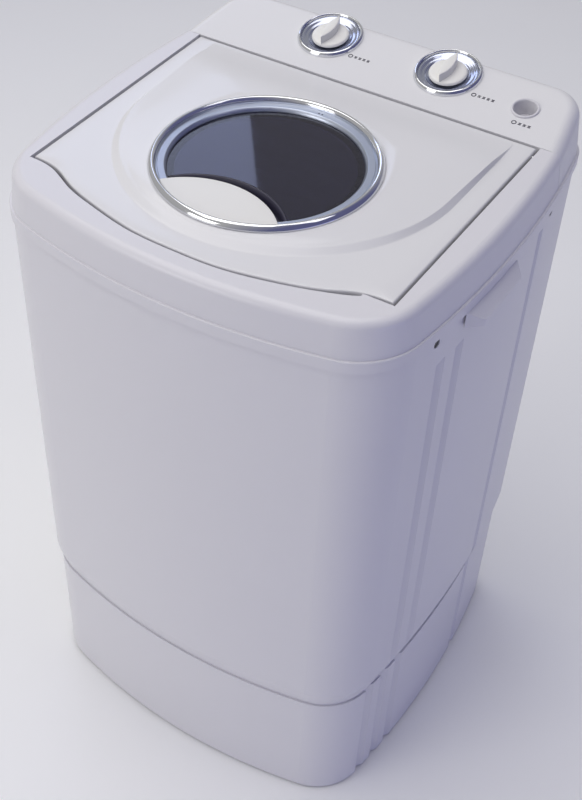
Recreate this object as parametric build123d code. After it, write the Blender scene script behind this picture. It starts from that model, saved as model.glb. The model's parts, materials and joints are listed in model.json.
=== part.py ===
"""Portable mini washer: one wash tub, a belt-driven pulsator, a hinged lid with a round window,
a wash timer and a drain selector. Millimetres, +Z up, -Y to the front, origin on the floor
under the middle of the body."""

import math
import os

from build123d import *

# Body outline: bowed front and sides, flat back, rounded corners
body_width = 400.0
body_depth = 390.0
front_bow_radius = 590.0
side_bow_radius = 900.0
front_corner_radius = 62.0
rear_corner_radius = 38.0

# Heights above the floor
deck_height = 636.0
rim_height = 10.5
deck_rise = 32.0
plinth_top = 153.0
foot_height = 4.0
tub_floor = 190.0
bracket_height = 172.0
pulley_height = 58.0

# Walls and clearances
wall = 3.0
seam = 0.5
fit_gap = 0.3
running_gap = 0.04
snug_gap = 0.02

# How far each shell stands inside the rim's outline
cabinet_inset = 2.0
plinth_inset = 6.0
deck_top_inset = 6.0
cabinet_lower_inset = 8.0

# Cabinet details
curve_height = 22.0
groove_depth = 7.0
groove_run = 10.0
groove_slope = 24.0
groove_top = 556.0
rear_groove_top = 574.0
cabinet_grooves = (-96.0, -69.0)
plinth_grooves = (-125.0, -101.0, -77.0)
rear_groove = 72.0
tongue_height = 10.0
tongue_wall = 2.7

# Lid and its pocket in the deck
lid_half_width = 167.4
lid_back = 106.5
lid_corner_y = -130.5
lid_front = -167.4
lid_gap = 2.75
lid_thickness = 12.0
lid_skin = 2.8
pocket_depth = 17.0
crown_half_width = 150.0
crown_front = -150.0
crown_back = 92.0
crown_side_end = 0.0
crown_height = 7.0
crown_taper = 38.0
hinge_drop = 6.0
hinge_inset = 6.5
hinge_pin_radius = 3.0
hinge_pin_reach = 8.0
throat_radius = 131.0
bumper_radius = 5.0

# Window set in the lid
window_y = -40.5
trim_outer = 95.4
trim_inner = 88.7
trim_height = 5.0
bezel_inner = 79.7
bezel_height = 5.0
glass_thickness = 3.0
glass_overlap = 4.0
liner_inner = 74.0
liner_outer = 98.0
grip_apex = 42.4
grip_arc_radius = 73.5
grip_thickness = 5.0
grip_pocket_reach = 13.0
grip_pocket_depth = 12.0
grip_pocket_wall = 1.6

# Control panel
panel_tilt = 11.0
panel_edge_radius = 11.0
dial_spacing = 118.4
dial_y = 157.4
dial_ring_outer = 30.0
dial_ring_inner = 26.2
dial_ring_height = 4.0
dial_cup_depth = 3.0
dial_cup_floor_radius = 19.0
dial_cup_wall = 1.5
knob_radius = 16.7
knob_height = 3.0
knob_edge_radius = 1.5
blade_length = 17.0
blade_width = 4.5
blade_height = 8.0
blade_edge_radius = 1.0
knob_shaft_radius = 3.0
inlet_x = 137.8
inlet_y = 145.7
inlet_radius = 12.2
inlet_depth = 16.0
inlet_bore_radius = 5.0
inlet_hose_drop = 44.0
inlet_hose_bend = 14.0

# Tub and pulsator
tub_y = -35.0
tub_radius = 138.0
tub_wall = 3.0
tub_floor_wall = 4.0
tub_floor_round = 24.0
tub_flange_height = 3.5
gasket_height = 3.0
tub_hub_radius = 24.0
pulsator_radius = 104.0
pulsator_lift = 5.0
pulsator_plate = 5.0
pulsator_vane_height = 24.0
pulsator_hub_radius = 20.0
pulsator_hub_height = 31.0

# Drive
shaft_radius = 8.0
shaft_pulley_radius = 7.0
shaft_thread_radius = 6.0
bush_wall = 6.0
bush_length = 18.0
bearing_bottom = 84.0
bearing_wall = 8.0
large_pulley_radius = 75.0
motor_pulley_radius = 22.0
pulley_width = 14.0
belt_width = 8.0
belt_thickness = 6.0
motor_y = 100.0
motor_radius = 55.0
motor_bottom = 85.0
motor_can_height = 70.0
motor_cap_height = 8.0
motor_shaft_radius = 6.0
rotor_radius = 33.0
mount_radius = 10.0
mount_circle = 62.0
screw_radius = 3.0
screw_head_radius = 6.0
bracket_thickness = 3.0

# Drain
cam_radius = 12.0
cam_tilt = 30.0
cam_depth = 46.0
rod_radius = 2.5
valve_radius = 20.0
valve_seat_height = 172.0
valve_box_height = 64.0
valve_bore_radius = 9.0
drain_duct_height = 212.0
drain_duct_radius = 9.0
drain_outlet_height = 60.0
drain_outlet_radius = 13.0
drain_outlet_length = 22.0

# Outside fittings
foot_radius = 15.0
foot_x = 150.0
foot_y = 128.0
handle_length = 85.0
handle_y = -21.5
handle_height = 14.0
handle_drop = 8.5
handle_reach = 11.5
handle_wall = 3.0
side_screw_drop = 6.5
side_screw_y = 100.0
cover_width = 240.0
cover_height = 270.0
cover_bottom = 180.0
cover_thickness = 1.8
cover_lap = 12.0
gland_x = -120.0
gland_height = 60.0
gland_radius = 7.0
gland_bore_radius = 3.3

# Small parts and holes
cover_screw_radius = 1.5
cover_screw_head = 3.6
cover_slots = 7
side_screw_head = 3.8
lug_depth = 9.0
floor_wall = 4.0
shoulder = 5.0
foot_button = 2.0
foot_neck_radius = 5.0
vent_steps = 3
vent_pitch = 14.0
vent_half = 2.5
vent_length = 90.0
deck_edge_radius = 8.0
rim_edge_radius = 0.8
rim_wall = 3.2
bumper_x = 155.0
bumper_front_y = -112.0
bumper_back_y = 80.0
dial_hole_radius = 24.6
inlet_hole_radius = 10.6
handle_root = 0.5
trim_neck = 91.0
pin_grip = 12.0
pin_boss_wall = 2.0
pin_boss_lap = 1.0
grip_edge_radius = 1.6
neck_radius = 5.0
timer_width = 50.0
timer_depth = 42.0
timer_height = 30.0
timer_tabs = 3
timer_floor = 4.0
timer_corner = 4.0
tab_size = (6.0, 0.8, 8.0)
selector_plate = 4.0
selector_boss = 10.0
selector_boss_wall = 3.0
inlet_spigot = 14.0
spigot_wall = 2.5
inlet_flange = 1.5
hose_wall = 2.0
stub_length = 16.0
leg_radius = 9.0
leg_x = 60.0
leg_reach = 62.0
lug_half = 6.0
duct_wall = 2.0
grille_thickness = 3.0
grille_pitch = 4.5
grille_bar = 2.1
filter_width = 70.0
filter_bottom = 400.0
filter_height = 60.0
filter_slits = 5
filter_slit_half = 2.0
pulsator_vanes = 4
vane_width = 15.0
vane_setback = 12.0
vane_taper = 12.0
vane_edge_radius = 2.0
hub_web = 10.0
hub_recess = 7.0
screw_head_height = 4.0
screw_slot = 1.4
pulsator_screw_length = 14.0
shaft_tap_depth = 12.0
pulley_holes = 6
pulley_hole_radius = 11.0
pulley_lip = 3.0
pulley_groove_depth = 2.0
pulley_rim = 9.0
pulley_web = 4.0
hub_drop = 6.0
hub_rise = 4.0
large_hub_radius = 18.0
small_hub_radius = 12.0
nut_height = 8.0
nut_radius = 10.5
thread_length = 12.0
housing_flange = 16.0
housing_flange_height = 6.0
housing_bore_gap = 2.0
hub_stand = 2.0
seal_height = 8.0
bracket_margin = 2.0
bracket_end = 12.0
bracket_corner = 9.0
motor_vents = 8
motor_vent_half = 4.0
motor_vent_low = 10.0
motor_vent_high = 30.0
winding_gap = 14.0
winding_step = 8.0
winding_inset = 6.0
winding_clearance = 3.0
rotor_gap = 20.0
fan_radius = 42.0
fan_blades = 8
fan_hub_radius = 12.0
fan_disc = 2.0
fan_blade_half = 1.0
fan_gap = 2.0
capacitor_x = -125.0
capacitor_y = 56.0
capacitor_size = (50.0, 32.0, 52.0)
capacitor_corner = 6.0
terminal_size = (4.0, 1.0, 8.0)
terminal_offset = 6.0
spring_turns = 7
spring_wire = 1.0
plunger_thickness = 8.0
plunger_lap = 4.5
valve_wall = 2.5
valve_floor = 4.0
valve_spout = 20.0
rod_collar = 2.5
rod_guide_wall = 3.0
rod_grip = 4.0
cam_follow_gap = 1.0
rod_clearance = 2.5
finger_reach = 3.0
finger_height = 5.0
hose_lap = 8.0
drain_hose_wall = 2.5
fitting_grip = 4.0
fitting_flange = 5.0
gland_length = 14.0
gland_flange = 3.0

# Places worked out from the sizes above
half_width = body_width / 2
half_depth = body_depth / 2
rim_top = deck_height - deck_rise
cabinet_top = rim_top - rim_height
pocket_floor = deck_height - pocket_depth
lid_bottom = deck_height - lid_thickness
crown_top = deck_height + crown_height
hinge_y = lid_back - hinge_inset
hinge_height = deck_height - hinge_drop
panel_front = lid_back + lid_gap
cabinet_back = half_depth - cabinet_inset
plinth_back = half_depth - plinth_inset
tongue_inset = cabinet_lower_inset + wall + fit_gap
stator_outer = motor_radius - wall - seam
tub_outer = tub_radius + tub_wall
tub_top = cabinet_top + tub_flange_height
bracket_top = bracket_height + bracket_thickness
pulsator_bottom = tub_floor + pulsator_lift
bush_outer = shaft_radius + running_gap + bush_wall
sleeve_outer = bush_outer + bearing_wall
housing_top = tub_floor + hub_stand
upper_bush_bottom = housing_top - seal_height - bush_length
shaft_top = pulsator_bottom + pulsator_hub_height - hub_web
pulley_top = pulley_height + pulley_width
hub_bottom = pulley_height - hub_drop
switch_top = -dial_cup_depth - seam
timer_shaft_end = switch_top - timer_height + 2 * timer_floor
spigot_radius = inlet_bore_radius + spigot_wall
duct_outer = drain_duct_radius + duct_wall
dial_places = {"wash": -dial_spacing / 2, "drain": dial_spacing / 2}
tilt = math.radians(panel_tilt)
panel_normal = Vector(0, -math.sin(tilt), math.cos(tilt))
cam_centre_y = dial_y + cam_depth * math.sin(tilt)
rod_x = dial_spacing / 2
rod_y = cam_centre_y - cam_radius - rod_radius - rod_clearance


def cylinder(radius, bottom, top, x=0.0, y=0.0):
    """Upright cylinder between two heights."""
    return Pos(x, y, (bottom + top) / 2) * Cylinder(radius, top - bottom)


def ring(outer, inner, bottom, top, x=0.0, y=0.0):
    """Upright tube between two heights."""
    return cylinder(outer, bottom, top, x, y) - cylinder(inner, bottom, top, x, y)


def block(x_span, y_span, z_span):
    """Box given by its low and high limits along each axis."""
    spans = (x_span, y_span, z_span)
    middle = [sum(span) / 2 for span in spans]
    return Pos(*middle) * Box(*[span[1] - span[0] for span in spans])


def slab(outline, bottom, top):
    """Plan outline raised between two heights."""
    return Pos(0, 0, bottom) * extrude(outline, top - bottom, dir=(0, 0, 1))


def rod_along_y(radius, x, z, start, end):
    """Cylinder along Y."""
    return Pos(x, (start + end) / 2, z) * Rot(90, 0, 0) * Cylinder(radius, abs(end - start))


def rod_along_x(radius, y, z, start, end):
    """Cylinder along X."""
    return Pos((start + end) / 2, y, z) * Rot(0, 90, 0) * Cylinder(radius, abs(end - start))


def both_sides(shape):
    """The shape and its mirror image across the middle plane."""
    return [shape, mirror(shape, about=Plane.YZ)]


def group(shapes):
    """Separate solids kept together in one node."""
    return Compound(children=[solid for shape in shapes for solid in shape.solids()])


def footprint(inset=0.0):
    """Plan outline of the body, moved inwards by inset all round."""
    back_y = half_depth - inset
    outline = Pos(0, front_bow_radius - half_depth) * Circle(front_bow_radius - inset)
    for side in (-1, 1):
        centre_x = side * (half_width - side_bow_radius)
        outline &= Pos(centre_x, 0) * Circle(side_bow_radius - inset)
    outline &= Pos(0, back_y - body_depth) * Rectangle(2 * body_width, 2 * body_depth)
    corners = outline.vertices().sort_by(Axis.Y)
    outline = fillet(corners[:2], front_corner_radius - inset)
    corners = outline.vertices().sort_by(Axis.Y)
    return fillet(corners[-2:], rear_corner_radius - inset)


def lid_outline(inset=0.0):
    """Plan outline of the lid: straight back and sides, and a front that swells forward."""
    half = lid_half_width - inset
    back = lid_back - inset
    corner_y = lid_corner_y + inset
    swell = lid_corner_y - lid_front
    shares = ((-0.85, 0.08), (-0.69, 0.43), (-0.52, 0.68), (-0.25, 0.95))
    left = [(half * x, corner_y - swell * drop) for x, drop in shares]
    right = [(-x, y) for x, y in reversed(left)]
    points = [(-half, corner_y), *left, (0, corner_y - swell), *right, (half, corner_y)]
    front = Spline(*points, tangents=((1, -0.02), (1, 0.02)))
    rest = Polyline((half, corner_y), (half, back), (-half, back), (-half, corner_y))
    return make_face([front, rest])


def crown_outline(inset=0.0):
    """Plan outline of the lid's raised middle: straight sides run into half an ellipse."""
    half = crown_half_width - inset
    reach = crown_side_end - crown_front - inset
    oval = Pos(0, crown_side_end) * Ellipse(half, reach)
    oval &= Pos(0, crown_side_end - body_depth / 2) * Rectangle(body_width, body_depth)
    length = crown_back - inset - crown_side_end
    return oval + Pos(0, crown_side_end + length / 2) * Rectangle(2 * half, length)


def panel_height(y):
    """Height of the control panel's face at a place from front to back."""
    return deck_height + (y - panel_front) * math.tan(tilt)


def on_panel(x, y, shape):
    """Place a shape built on the XY plane onto the control panel's face."""
    return Plane(origin=(x, y, panel_height(y)), x_dir=(1, 0, 0), z_dir=panel_normal) * shape


def under_panel(depth=0.0):
    """Everything below the control panel's face, lowered by depth."""
    origin = Vector(0, panel_front, deck_height) - panel_normal * depth
    plane = Plane(origin=origin, x_dir=(1, 0, 0), z_dir=panel_normal)
    return plane * (Pos(0, 0, -body_width) * Box(3 * body_width, 3 * body_width, 2 * body_width))


# ---------------------------------------------------------------- body shells


def skin_x(y, inset):
    """Half width of the footprint at a place from front to back."""
    radius = side_bow_radius - inset
    return half_width - side_bow_radius + math.sqrt(radius**2 - y**2)


def groove(y, inset, bottom, top, grow=0.0):
    """Saw-tooth groove on the right side, grown by a wall, its top sloping out to the skin."""
    outer = skin_x(y + groove_run, inset)
    floor = outer - groove_depth - grow
    beyond = outer + groove_depth
    step = y - grow
    foot_of_run = y + groove_run / 6 + grow
    end_of_run = foot_of_run + groove_run
    plan = Polyline(
        (beyond, step),
        (floor, step),
        (floor, foot_of_run),
        (outer, end_of_run),
        (beyond, end_of_run),
        close=True,
    )
    slope = 0.0 if grow else groove_slope
    side = Polyline(
        (outer - 2 * groove_depth, bottom),
        (beyond, bottom),
        (beyond, top + slope),
        (outer - 2 * groove_depth, top - slope),
        close=True,
    )
    elevation = Plane.XZ.offset(-body_depth) * extrude(make_face(side), 2 * body_depth)
    return slab(make_face(plan), bottom, top + groove_slope) & elevation


def grooved(shape, places, inset, bottom, tops, grow=0.0):
    """Cut grooves at the given places into both sides of a solid."""
    for y, top in zip(places, tops):
        for cut in both_sides(groove(y, inset, bottom, top, grow)):
            shape -= cut
    return shape


def cover_screw_places():
    """Screws of the rear cover: three up each side."""
    reach = cover_width / 2 - cover_lap / 2
    levels = (cover_lap / 2, cover_height / 2, cover_height - cover_lap / 2)
    return [(side * reach, cover_bottom + level) for side in (-1, 1) for level in levels]


def side_screw_places():
    """Screws through each side that hold the cabinet, the tub and the deck together."""
    return [(y, cabinet_top - side_screw_drop) for y in (-side_screw_y, side_screw_y)]


def make_cabinet():
    """Middle shell: grooved sides, lower edge curved in to meet the plinth, flange round the top."""
    lower = plinth_top + curve_height
    places = (*cabinet_grooves, rear_groove)
    tops = (groove_top, groove_top, rear_groove_top)
    shell = slab(footprint(cabinet_inset), plinth_top, cabinet_top)
    edges = shell.edges().group_by(Axis.Z)[0]
    shell = chamfer(edges, curve_height, cabinet_lower_inset - cabinet_inset)
    shell = grooved(shell, places, cabinet_inset, plinth_top - 1, tops)
    core = slab(footprint(cabinet_inset + wall), lower, cabinet_top)
    core = grooved(core, places, cabinet_inset, lower - 1, tops, wall)
    shell -= core
    shell -= slab(footprint(cabinet_lower_inset + wall), plinth_top, lower)
    opening = cover_width / 2 - cover_lap
    shell -= block(
        (-opening, opening),
        (cabinet_back - 2 * wall, half_depth),
        (cover_bottom + cover_lap, cover_bottom + cover_height - cover_lap),
    )
    for x, z in cover_screw_places():
        shell -= rod_along_y(cover_screw_radius, x, z, cabinet_back - 2 * wall, half_depth)
    for y, z in side_screw_places():
        recess = skin_x(y, cabinet_inset) - wall / 2
        for side in (-1, 1):
            shell -= rod_along_x(cover_screw_radius, y, z, side * (recess - 2 * wall), side * half_width)
            shell -= rod_along_x(side_screw_head, y, z, side * recess, side * half_width)
    return shell


def make_plinth():
    """Base tray that carries the machine: floor, grooved walls and a tongue inside the cabinet."""
    bottom = foot_height
    places = (*plinth_grooves, rear_groove)
    tops = [2 * body_depth] * len(places)
    outer = slab(footprint(plinth_inset), bottom, plinth_top)
    outer = grooved(outer, places, plinth_inset, bottom - 1, tops)
    core = slab(footprint(plinth_inset + wall), bottom + floor_wall, plinth_top - shoulder)
    core = grooved(core, places, plinth_inset, bottom, tops, wall)
    core += slab(footprint(tongue_inset + tongue_wall), plinth_top - shoulder, plinth_top)
    tongue = slab(footprint(tongue_inset), plinth_top, plinth_top + tongue_height)
    tongue -= slab(footprint(tongue_inset + tongue_wall), plinth_top, plinth_top + tongue_height)
    plinth = outer - core + tongue
    for x, y in foot_places():
        plinth -= cylinder(foot_neck_radius + snug_gap, bottom, bottom + floor_wall, x, y)
    for step in range(-vent_steps, vent_steps + 1):
        y = motor_y + step * vent_pitch
        slot_y = (y - vent_half, y + vent_half)
        plinth -= block((-motor_radius, motor_radius), slot_y, (bottom, bottom + floor_wall))
    inner_face = plinth_back - 2 * wall
    plinth -= rod_along_y(drain_outlet_radius + snug_gap, rod_x, drain_outlet_height, inner_face, half_depth)
    return plinth - rod_along_y(gland_radius + snug_gap, gland_x, gland_height, inner_face, half_depth)


def foot_places():
    """Centres of the four feet."""
    return [(x, y) for x in (-foot_x, foot_x) for y in (-foot_y, foot_y)]


def make_feet():
    """Rubber feet, each with a neck and a button that hold it in the plinth's floor."""
    feet = []
    for x, y in foot_places():
        foot = cylinder(foot_radius, 0, foot_height, x, y)
        foot += cylinder(foot_neck_radius, foot_height, foot_height + floor_wall, x, y)
        button = foot_height + floor_wall
        feet.append(foot + cylinder(foot_neck_radius + foot_button, button, button + foot_button, x, y))
    return group(feet)


def make_rear_cover():
    """Flat access plate screwed over the opening in the cabinet's back."""
    top = cover_bottom + cover_height
    front = cabinet_back
    half = cover_width / 2
    cover = block((-half, half), (front, front + cover_thickness), (cover_bottom, top))
    cover = fillet(cover.edges().filter_by(Axis.Y), cover_lap / 2)
    for x, z in cover_screw_places():
        cover -= rod_along_y(cover_screw_radius, x, z, front, half_depth)
        cover -= rod_along_y(cover_screw_head, x, z, front + cover_thickness / 2, half_depth)
    for step in range(cover_slots):
        z = cover_bottom + cover_height / 2 + (step - (cover_slots - 1) / 2) * vent_pitch
        slot = block((-vent_length / 2, vent_length / 2), (front, half_depth), (z - vent_half, z + vent_half))
        cover -= fillet(slot.edges().filter_by(Axis.Y), vent_half * 0.9)
    return cover


def make_cover_screws():
    """Flush screws of the rear cover."""
    screws = []
    for x, z in cover_screw_places():
        shank = rod_along_y(cover_screw_radius - snug_gap, x, z, cabinet_back - wall, cabinet_back + 1)
        head_start = cabinet_back + cover_thickness / 2
        head = rod_along_y(cover_screw_head - fit_gap, x, z, head_start, cabinet_back + cover_thickness)
        screws.append(shank + head)
    return group(screws)


def make_side_screws():
    """Dark screws in the recesses under the rim, driven into the tub's rim lugs."""
    screws = []
    for y, z in side_screw_places():
        face = skin_x(y, cabinet_inset) - wall / 2
        head = rod_along_x(side_screw_head - fit_gap, y, z, face, face + wall / 3)
        shank = rod_along_x(cover_screw_radius - snug_gap, y, z, face - lug_depth, face)
        screws += both_sides(head + shank)
    return group(screws)


def make_deck():
    """Top deck: rim all round, raised border, pocket for the lid and a throat down to the tub."""
    border = loft(
        [Pos(0, 0, rim_top) * footprint(cabinet_inset), Pos(0, 0, deck_height) * footprint(deck_top_inset)],
        ruled=True,
    )
    border = fillet(border.edges().group_by(Axis.Z)[-1], deck_edge_radius)
    hollow = loft(
        [
            Pos(0, 0, rim_top) * footprint(cabinet_inset + wall),
            Pos(0, 0, deck_height - wall) * footprint(deck_top_inset + 2 * wall),
        ],
        ruled=True,
    )
    border -= hollow
    pocket = slab(lid_outline(-lid_gap), pocket_floor, deck_height)
    tray = slab(lid_outline(-lid_gap - wall), pocket_floor - wall, deck_height - wall)
    deck = border + tray - pocket
    deck -= block((-body_width, body_width), (panel_front - seam, body_depth), (0, 2 * deck_height))
    rim = slab(footprint(), cabinet_top, rim_top)
    rim = fillet(rim.edges().group_by(Axis.Z)[-1], rim_edge_radius)
    rim -= slab(footprint(rim_wall), cabinet_top, rim_top)
    deck += rim
    deck += cylinder(throat_radius + wall, tub_top + gasket_height, pocket_floor, 0, tub_y)
    deck -= cylinder(throat_radius, 0, 2 * deck_height, 0, tub_y)
    reach = hinge_pin_reach + lid_gap
    for side in (-1, 1):
        start = side * (lid_half_width - pin_boss_lap)
        end = side * (lid_half_width + reach)
        boss_end = side * (lid_half_width + reach + pin_boss_lap)
        boss_start = side * (lid_half_width + lid_gap)
        deck += rod_along_x(hinge_pin_radius + pin_boss_wall, hinge_y, hinge_height, boss_start, boss_end)
        deck -= rod_along_x(hinge_pin_radius + running_gap, hinge_y, hinge_height, start, end)
    return deck


def make_bumpers():
    """Rubber pads on the pocket's floor that the closed lid sits over."""
    places = [(x, y) for x in (-bumper_x, bumper_x) for y in (bumper_front_y, bumper_back_y)]
    return group([cylinder(bumper_radius, pocket_floor, lid_bottom - fit_gap, x, y) for x, y in places])


def make_panel():
    """Control panel housing: tilted face, soft ends, holes for the dials and the inlet."""
    bottom = rim_top
    top = panel_height(half_depth) + wall
    share = (top - bottom) / deck_rise
    top_inset = cabinet_inset + (deck_top_inset - cabinet_inset) * share
    outline = Pos(0, 0, bottom) * footprint(cabinet_inset)
    body = loft([outline, Pos(0, 0, top) * footprint(top_inset)], ruled=True)
    body -= block((-body_width, body_width), (-body_depth, panel_front), (0, 2 * deck_height))
    body &= under_panel()
    edges = body.edges().filter_by(lambda edge: on_face_edge(edge))
    body = fillet(edges, panel_edge_radius)
    core = loft(
        [
            Pos(0, 0, bottom) * footprint(cabinet_inset + wall),
            Pos(0, 0, top) * footprint(top_inset + 2 * wall),
        ],
        ruled=True,
    )
    core -= block((-body_width, body_width), (-body_depth, panel_front + wall), (0, 2 * deck_height))
    body -= core & under_panel(wall)
    for x in dial_places.values():
        body -= on_panel(x, dial_y, Cylinder(dial_hole_radius, 4 * wall))
    return body - on_panel(inlet_x, inlet_y, Cylinder(inlet_hole_radius, 4 * wall))


def on_face_edge(edge):
    """True for an edge of the panel's tilted face that isn't along its front."""
    middle = edge.center()
    return abs(middle.Z - panel_height(middle.Y)) < 0.05 and middle.Y > panel_front + 1


def below_handle_slope(x, z):
    """Everything under a slope that falls outwards from a line along Y."""
    fall = half_width * handle_drop / handle_reach
    side = Polyline(
        (x - half_width, z + fall),
        (x + half_width, z - fall),
        (x + half_width, 0),
        (x - half_width, 0),
        close=True,
    )
    return Plane.XZ.offset(-body_depth) * extrude(make_face(side), 2 * body_depth)


def make_handles():
    """Carry ledges under the rim: a top that slopes outwards, tapered ends, open below."""
    top = cabinet_top
    bottom = top - handle_height
    skin = skin_x(handle_y, cabinet_inset)
    outer = skin + handle_reach
    start = handle_y - handle_length / 2
    end = handle_y + handle_length / 2
    plan = Polyline(
        (skin - handle_root, start),
        (skin, start),
        (outer, start + handle_reach),
        (outer, end - handle_reach),
        (skin, end),
        (skin - handle_root, end),
        close=True,
    )
    ledge = slab(make_face(plan), bottom, top)
    edges = ledge.edges().filter_by(Axis.Z).sort_by(Axis.X)[-2:]
    ledge = fillet(edges, handle_reach / 2) & below_handle_slope(skin, top)
    slot_y = (start + handle_reach + handle_wall, end - handle_reach - handle_wall)
    slot = block((skin + handle_wall / 2, outer - handle_wall), slot_y, (bottom, top))
    ledge -= slot & below_handle_slope(skin, top - handle_wall)
    clear = slab(footprint(cabinet_inset), bottom, top)
    return [side - clear for side in both_sides(ledge)]


# ---------------------------------------------------------------- lid


def crown(inset=0.0, sink=0.0):
    """Raised middle of the lid, tapering up from the lid's flat margin."""
    base = crown_outline(inset)
    return Pos(0, 0, deck_height - sink) * extrude(base, crown_height, dir=(0, 0, 1), taper=crown_taper)


def make_lid_panel():
    """Lid skin: flat margin, raised middle, turned-down edge and a round hole for the window."""
    lid = slab(lid_outline(), lid_bottom, deck_height)
    lid += crown()
    lid -= slab(lid_outline(lid_skin), lid_bottom, deck_height - lid_skin)
    lid -= crown(lid_skin, lid_skin)
    lid -= cylinder(trim_neck + snug_gap, lid_bottom, crown_top, 0, window_y)
    for side in (-1, 1):
        start = side * (lid_half_width - pin_grip)
        end = side * (lid_half_width - pin_boss_lap)
        lid += rod_along_x(hinge_pin_radius + pin_boss_wall, hinge_y, hinge_height, start, end)
        lid -= rod_along_x(hinge_pin_radius + snug_gap, hinge_y, hinge_height, start, side * half_width)
    return lid


def make_hinge_pins():
    """Steel pins that stick out of the lid's back corners into the deck."""
    start = lid_half_width - pin_grip
    end = lid_half_width + hinge_pin_reach
    return group(both_sides(rod_along_x(hinge_pin_radius, hinge_y, hinge_height, start, end)))


def make_trim_ring():
    """Raised chrome ring round the window."""
    top = crown_top + trim_height
    trim = ring(trim_outer, trim_inner, crown_top, top, 0, window_y)
    trim = fillet(trim.edges().group_by(Axis.Z)[-1], trim_height / 3)
    return trim + ring(trim_neck, trim_inner, glass_top(), crown_top, 0, window_y)


def glass_top():
    """Height of the window's upper face."""
    return crown_top - lid_skin - 1


def make_bezel():
    """Flat ring between the trim and the clear window."""
    bottom = glass_top()
    bezel = ring(trim_inner - snug_gap, bezel_inner, bottom, bottom + bezel_height, 0, window_y)
    bezel = chamfer(bezel.edges().group_by(Axis.Z)[-1].sort_by(SortBy.RADIUS)[0], bezel_height / 3)
    return bezel - slab(grip_outline(-snug_gap), bottom, bottom + bezel_height)


def grip_outline(inset=0.0):
    """Plan outline of the finger grip: an arc that bulges back, and the trim ring's inner edge."""
    arc = Pos(0, window_y - grip_apex - grip_arc_radius) * Circle(grip_arc_radius - inset)
    return arc & Pos(0, window_y) * Circle(trim_inner - 2 * snug_gap - inset)


def pocket_outline(grow=0.0):
    """Plan outline of the finger pocket: behind the grip's arc and under the grip."""
    reach = grip_apex - grip_pocket_reach - grow
    arc = Pos(0, window_y - reach - grip_arc_radius - grow) * Circle(grip_arc_radius + grow)
    return arc & Pos(0, window_y) * Circle(bezel_inner - grip_pocket_wall - snug_gap + grow)


def make_window():
    """Tinted disc with a hole where the finger pocket hangs."""
    top = glass_top()
    disc = cylinder(bezel_inner + glass_overlap, top - glass_thickness, top, 0, window_y)
    return disc - slab(pocket_outline(), top - glass_thickness, top)


def make_grip_pocket():
    """Dark finger pocket that drops through the window behind and under the grip."""
    top = glass_top()
    shape = slab(pocket_outline(-snug_gap), top - grip_pocket_depth, top)
    inside = slab(pocket_outline(-grip_pocket_wall), top - grip_pocket_depth + grip_pocket_wall, top)
    return shape - inside


def make_grip():
    """Leaf-shaped finger grip that bridges the front of the window."""
    bottom = glass_top()
    leaf = slab(grip_outline(), bottom, bottom + grip_thickness)
    return fillet(leaf.edges().group_by(Axis.Z)[-1], grip_edge_radius)


def make_liner():
    """Inner ring that clamps the window up against the lid."""
    bottom = glass_top() - glass_thickness
    liner = ring(liner_outer, liner_inner, bottom - wall, bottom, 0, window_y)
    liner += ring(liner_outer, trim_neck + snug_gap, bottom, crown_top - lid_skin, 0, window_y)
    return liner - slab(pocket_outline(snug_gap), bottom - wall, bottom)


# ---------------------------------------------------------------- dials and inlet


def dial_cup_profile(depth, top_radius, floor_radius):
    """Solid of a shallow round bowl below the panel's face."""
    rim = Circle(top_radius)
    return loft([Pos(0, 0, -depth) * Circle(floor_radius), rim])


def make_dial_ring():
    """Raised chrome ring, built on the XY plane."""
    band = cylinder(dial_ring_outer, 0, dial_ring_height)
    band = fillet(band.edges().group_by(Axis.Z)[-1], dial_ring_height / 3)
    return band - cylinder(dial_ring_inner, 0, dial_ring_height)


def make_dial_cup():
    """Shallow bowl under a dial ring, with a flange on the panel and a hole for the shaft."""
    flange = cylinder(dial_ring_inner - snug_gap, 0, dial_cup_wall)
    bowl_radius = dial_hole_radius - snug_gap
    outer = dial_cup_profile(dial_cup_depth, bowl_radius, dial_cup_floor_radius + dial_cup_wall)
    inside_top = bowl_radius - dial_cup_wall
    bowl = dial_cup_profile(dial_cup_depth - dial_cup_wall, inside_top, dial_cup_floor_radius)
    cup = flange + outer - bowl
    cup -= cylinder(inside_top, 0, 2 * dial_cup_wall)
    return cup - cylinder(neck_radius + snug_gap, -2 * dial_cup_depth, 2 * dial_cup_wall)


def make_knob():
    """Dial knob: a low disc in the bowl under a leaf-shaped pointer blade."""
    bottom = dial_cup_wall + seam - dial_cup_depth
    body = cylinder(knob_radius, bottom, knob_height)
    body = fillet(body.edges().group_by(Axis.Z)[-1], knob_edge_radius)
    tip = Vector(0, blade_length)
    tail = Vector(0, -knob_radius)
    right = ThreePointArc(tip, (blade_width, 0), tail)
    left = ThreePointArc(tail, (-blade_width, 0), tip)
    blade = slab(make_face([right, left]), knob_top(), knob_height + blade_height)
    blade = fillet(blade.edges().group_by(Axis.Z)[-1], blade_edge_radius)
    return body + blade - cylinder(knob_shaft_radius + snug_gap, bottom, knob_top())


def knob_top():
    """Height of the shaft's end inside a knob."""
    return knob_height - pin_boss_lap


def make_knob_shaft(bottom):
    """Shaft from a knob down to its switch or cam."""
    return cylinder(knob_shaft_radius, bottom, knob_top())


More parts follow.
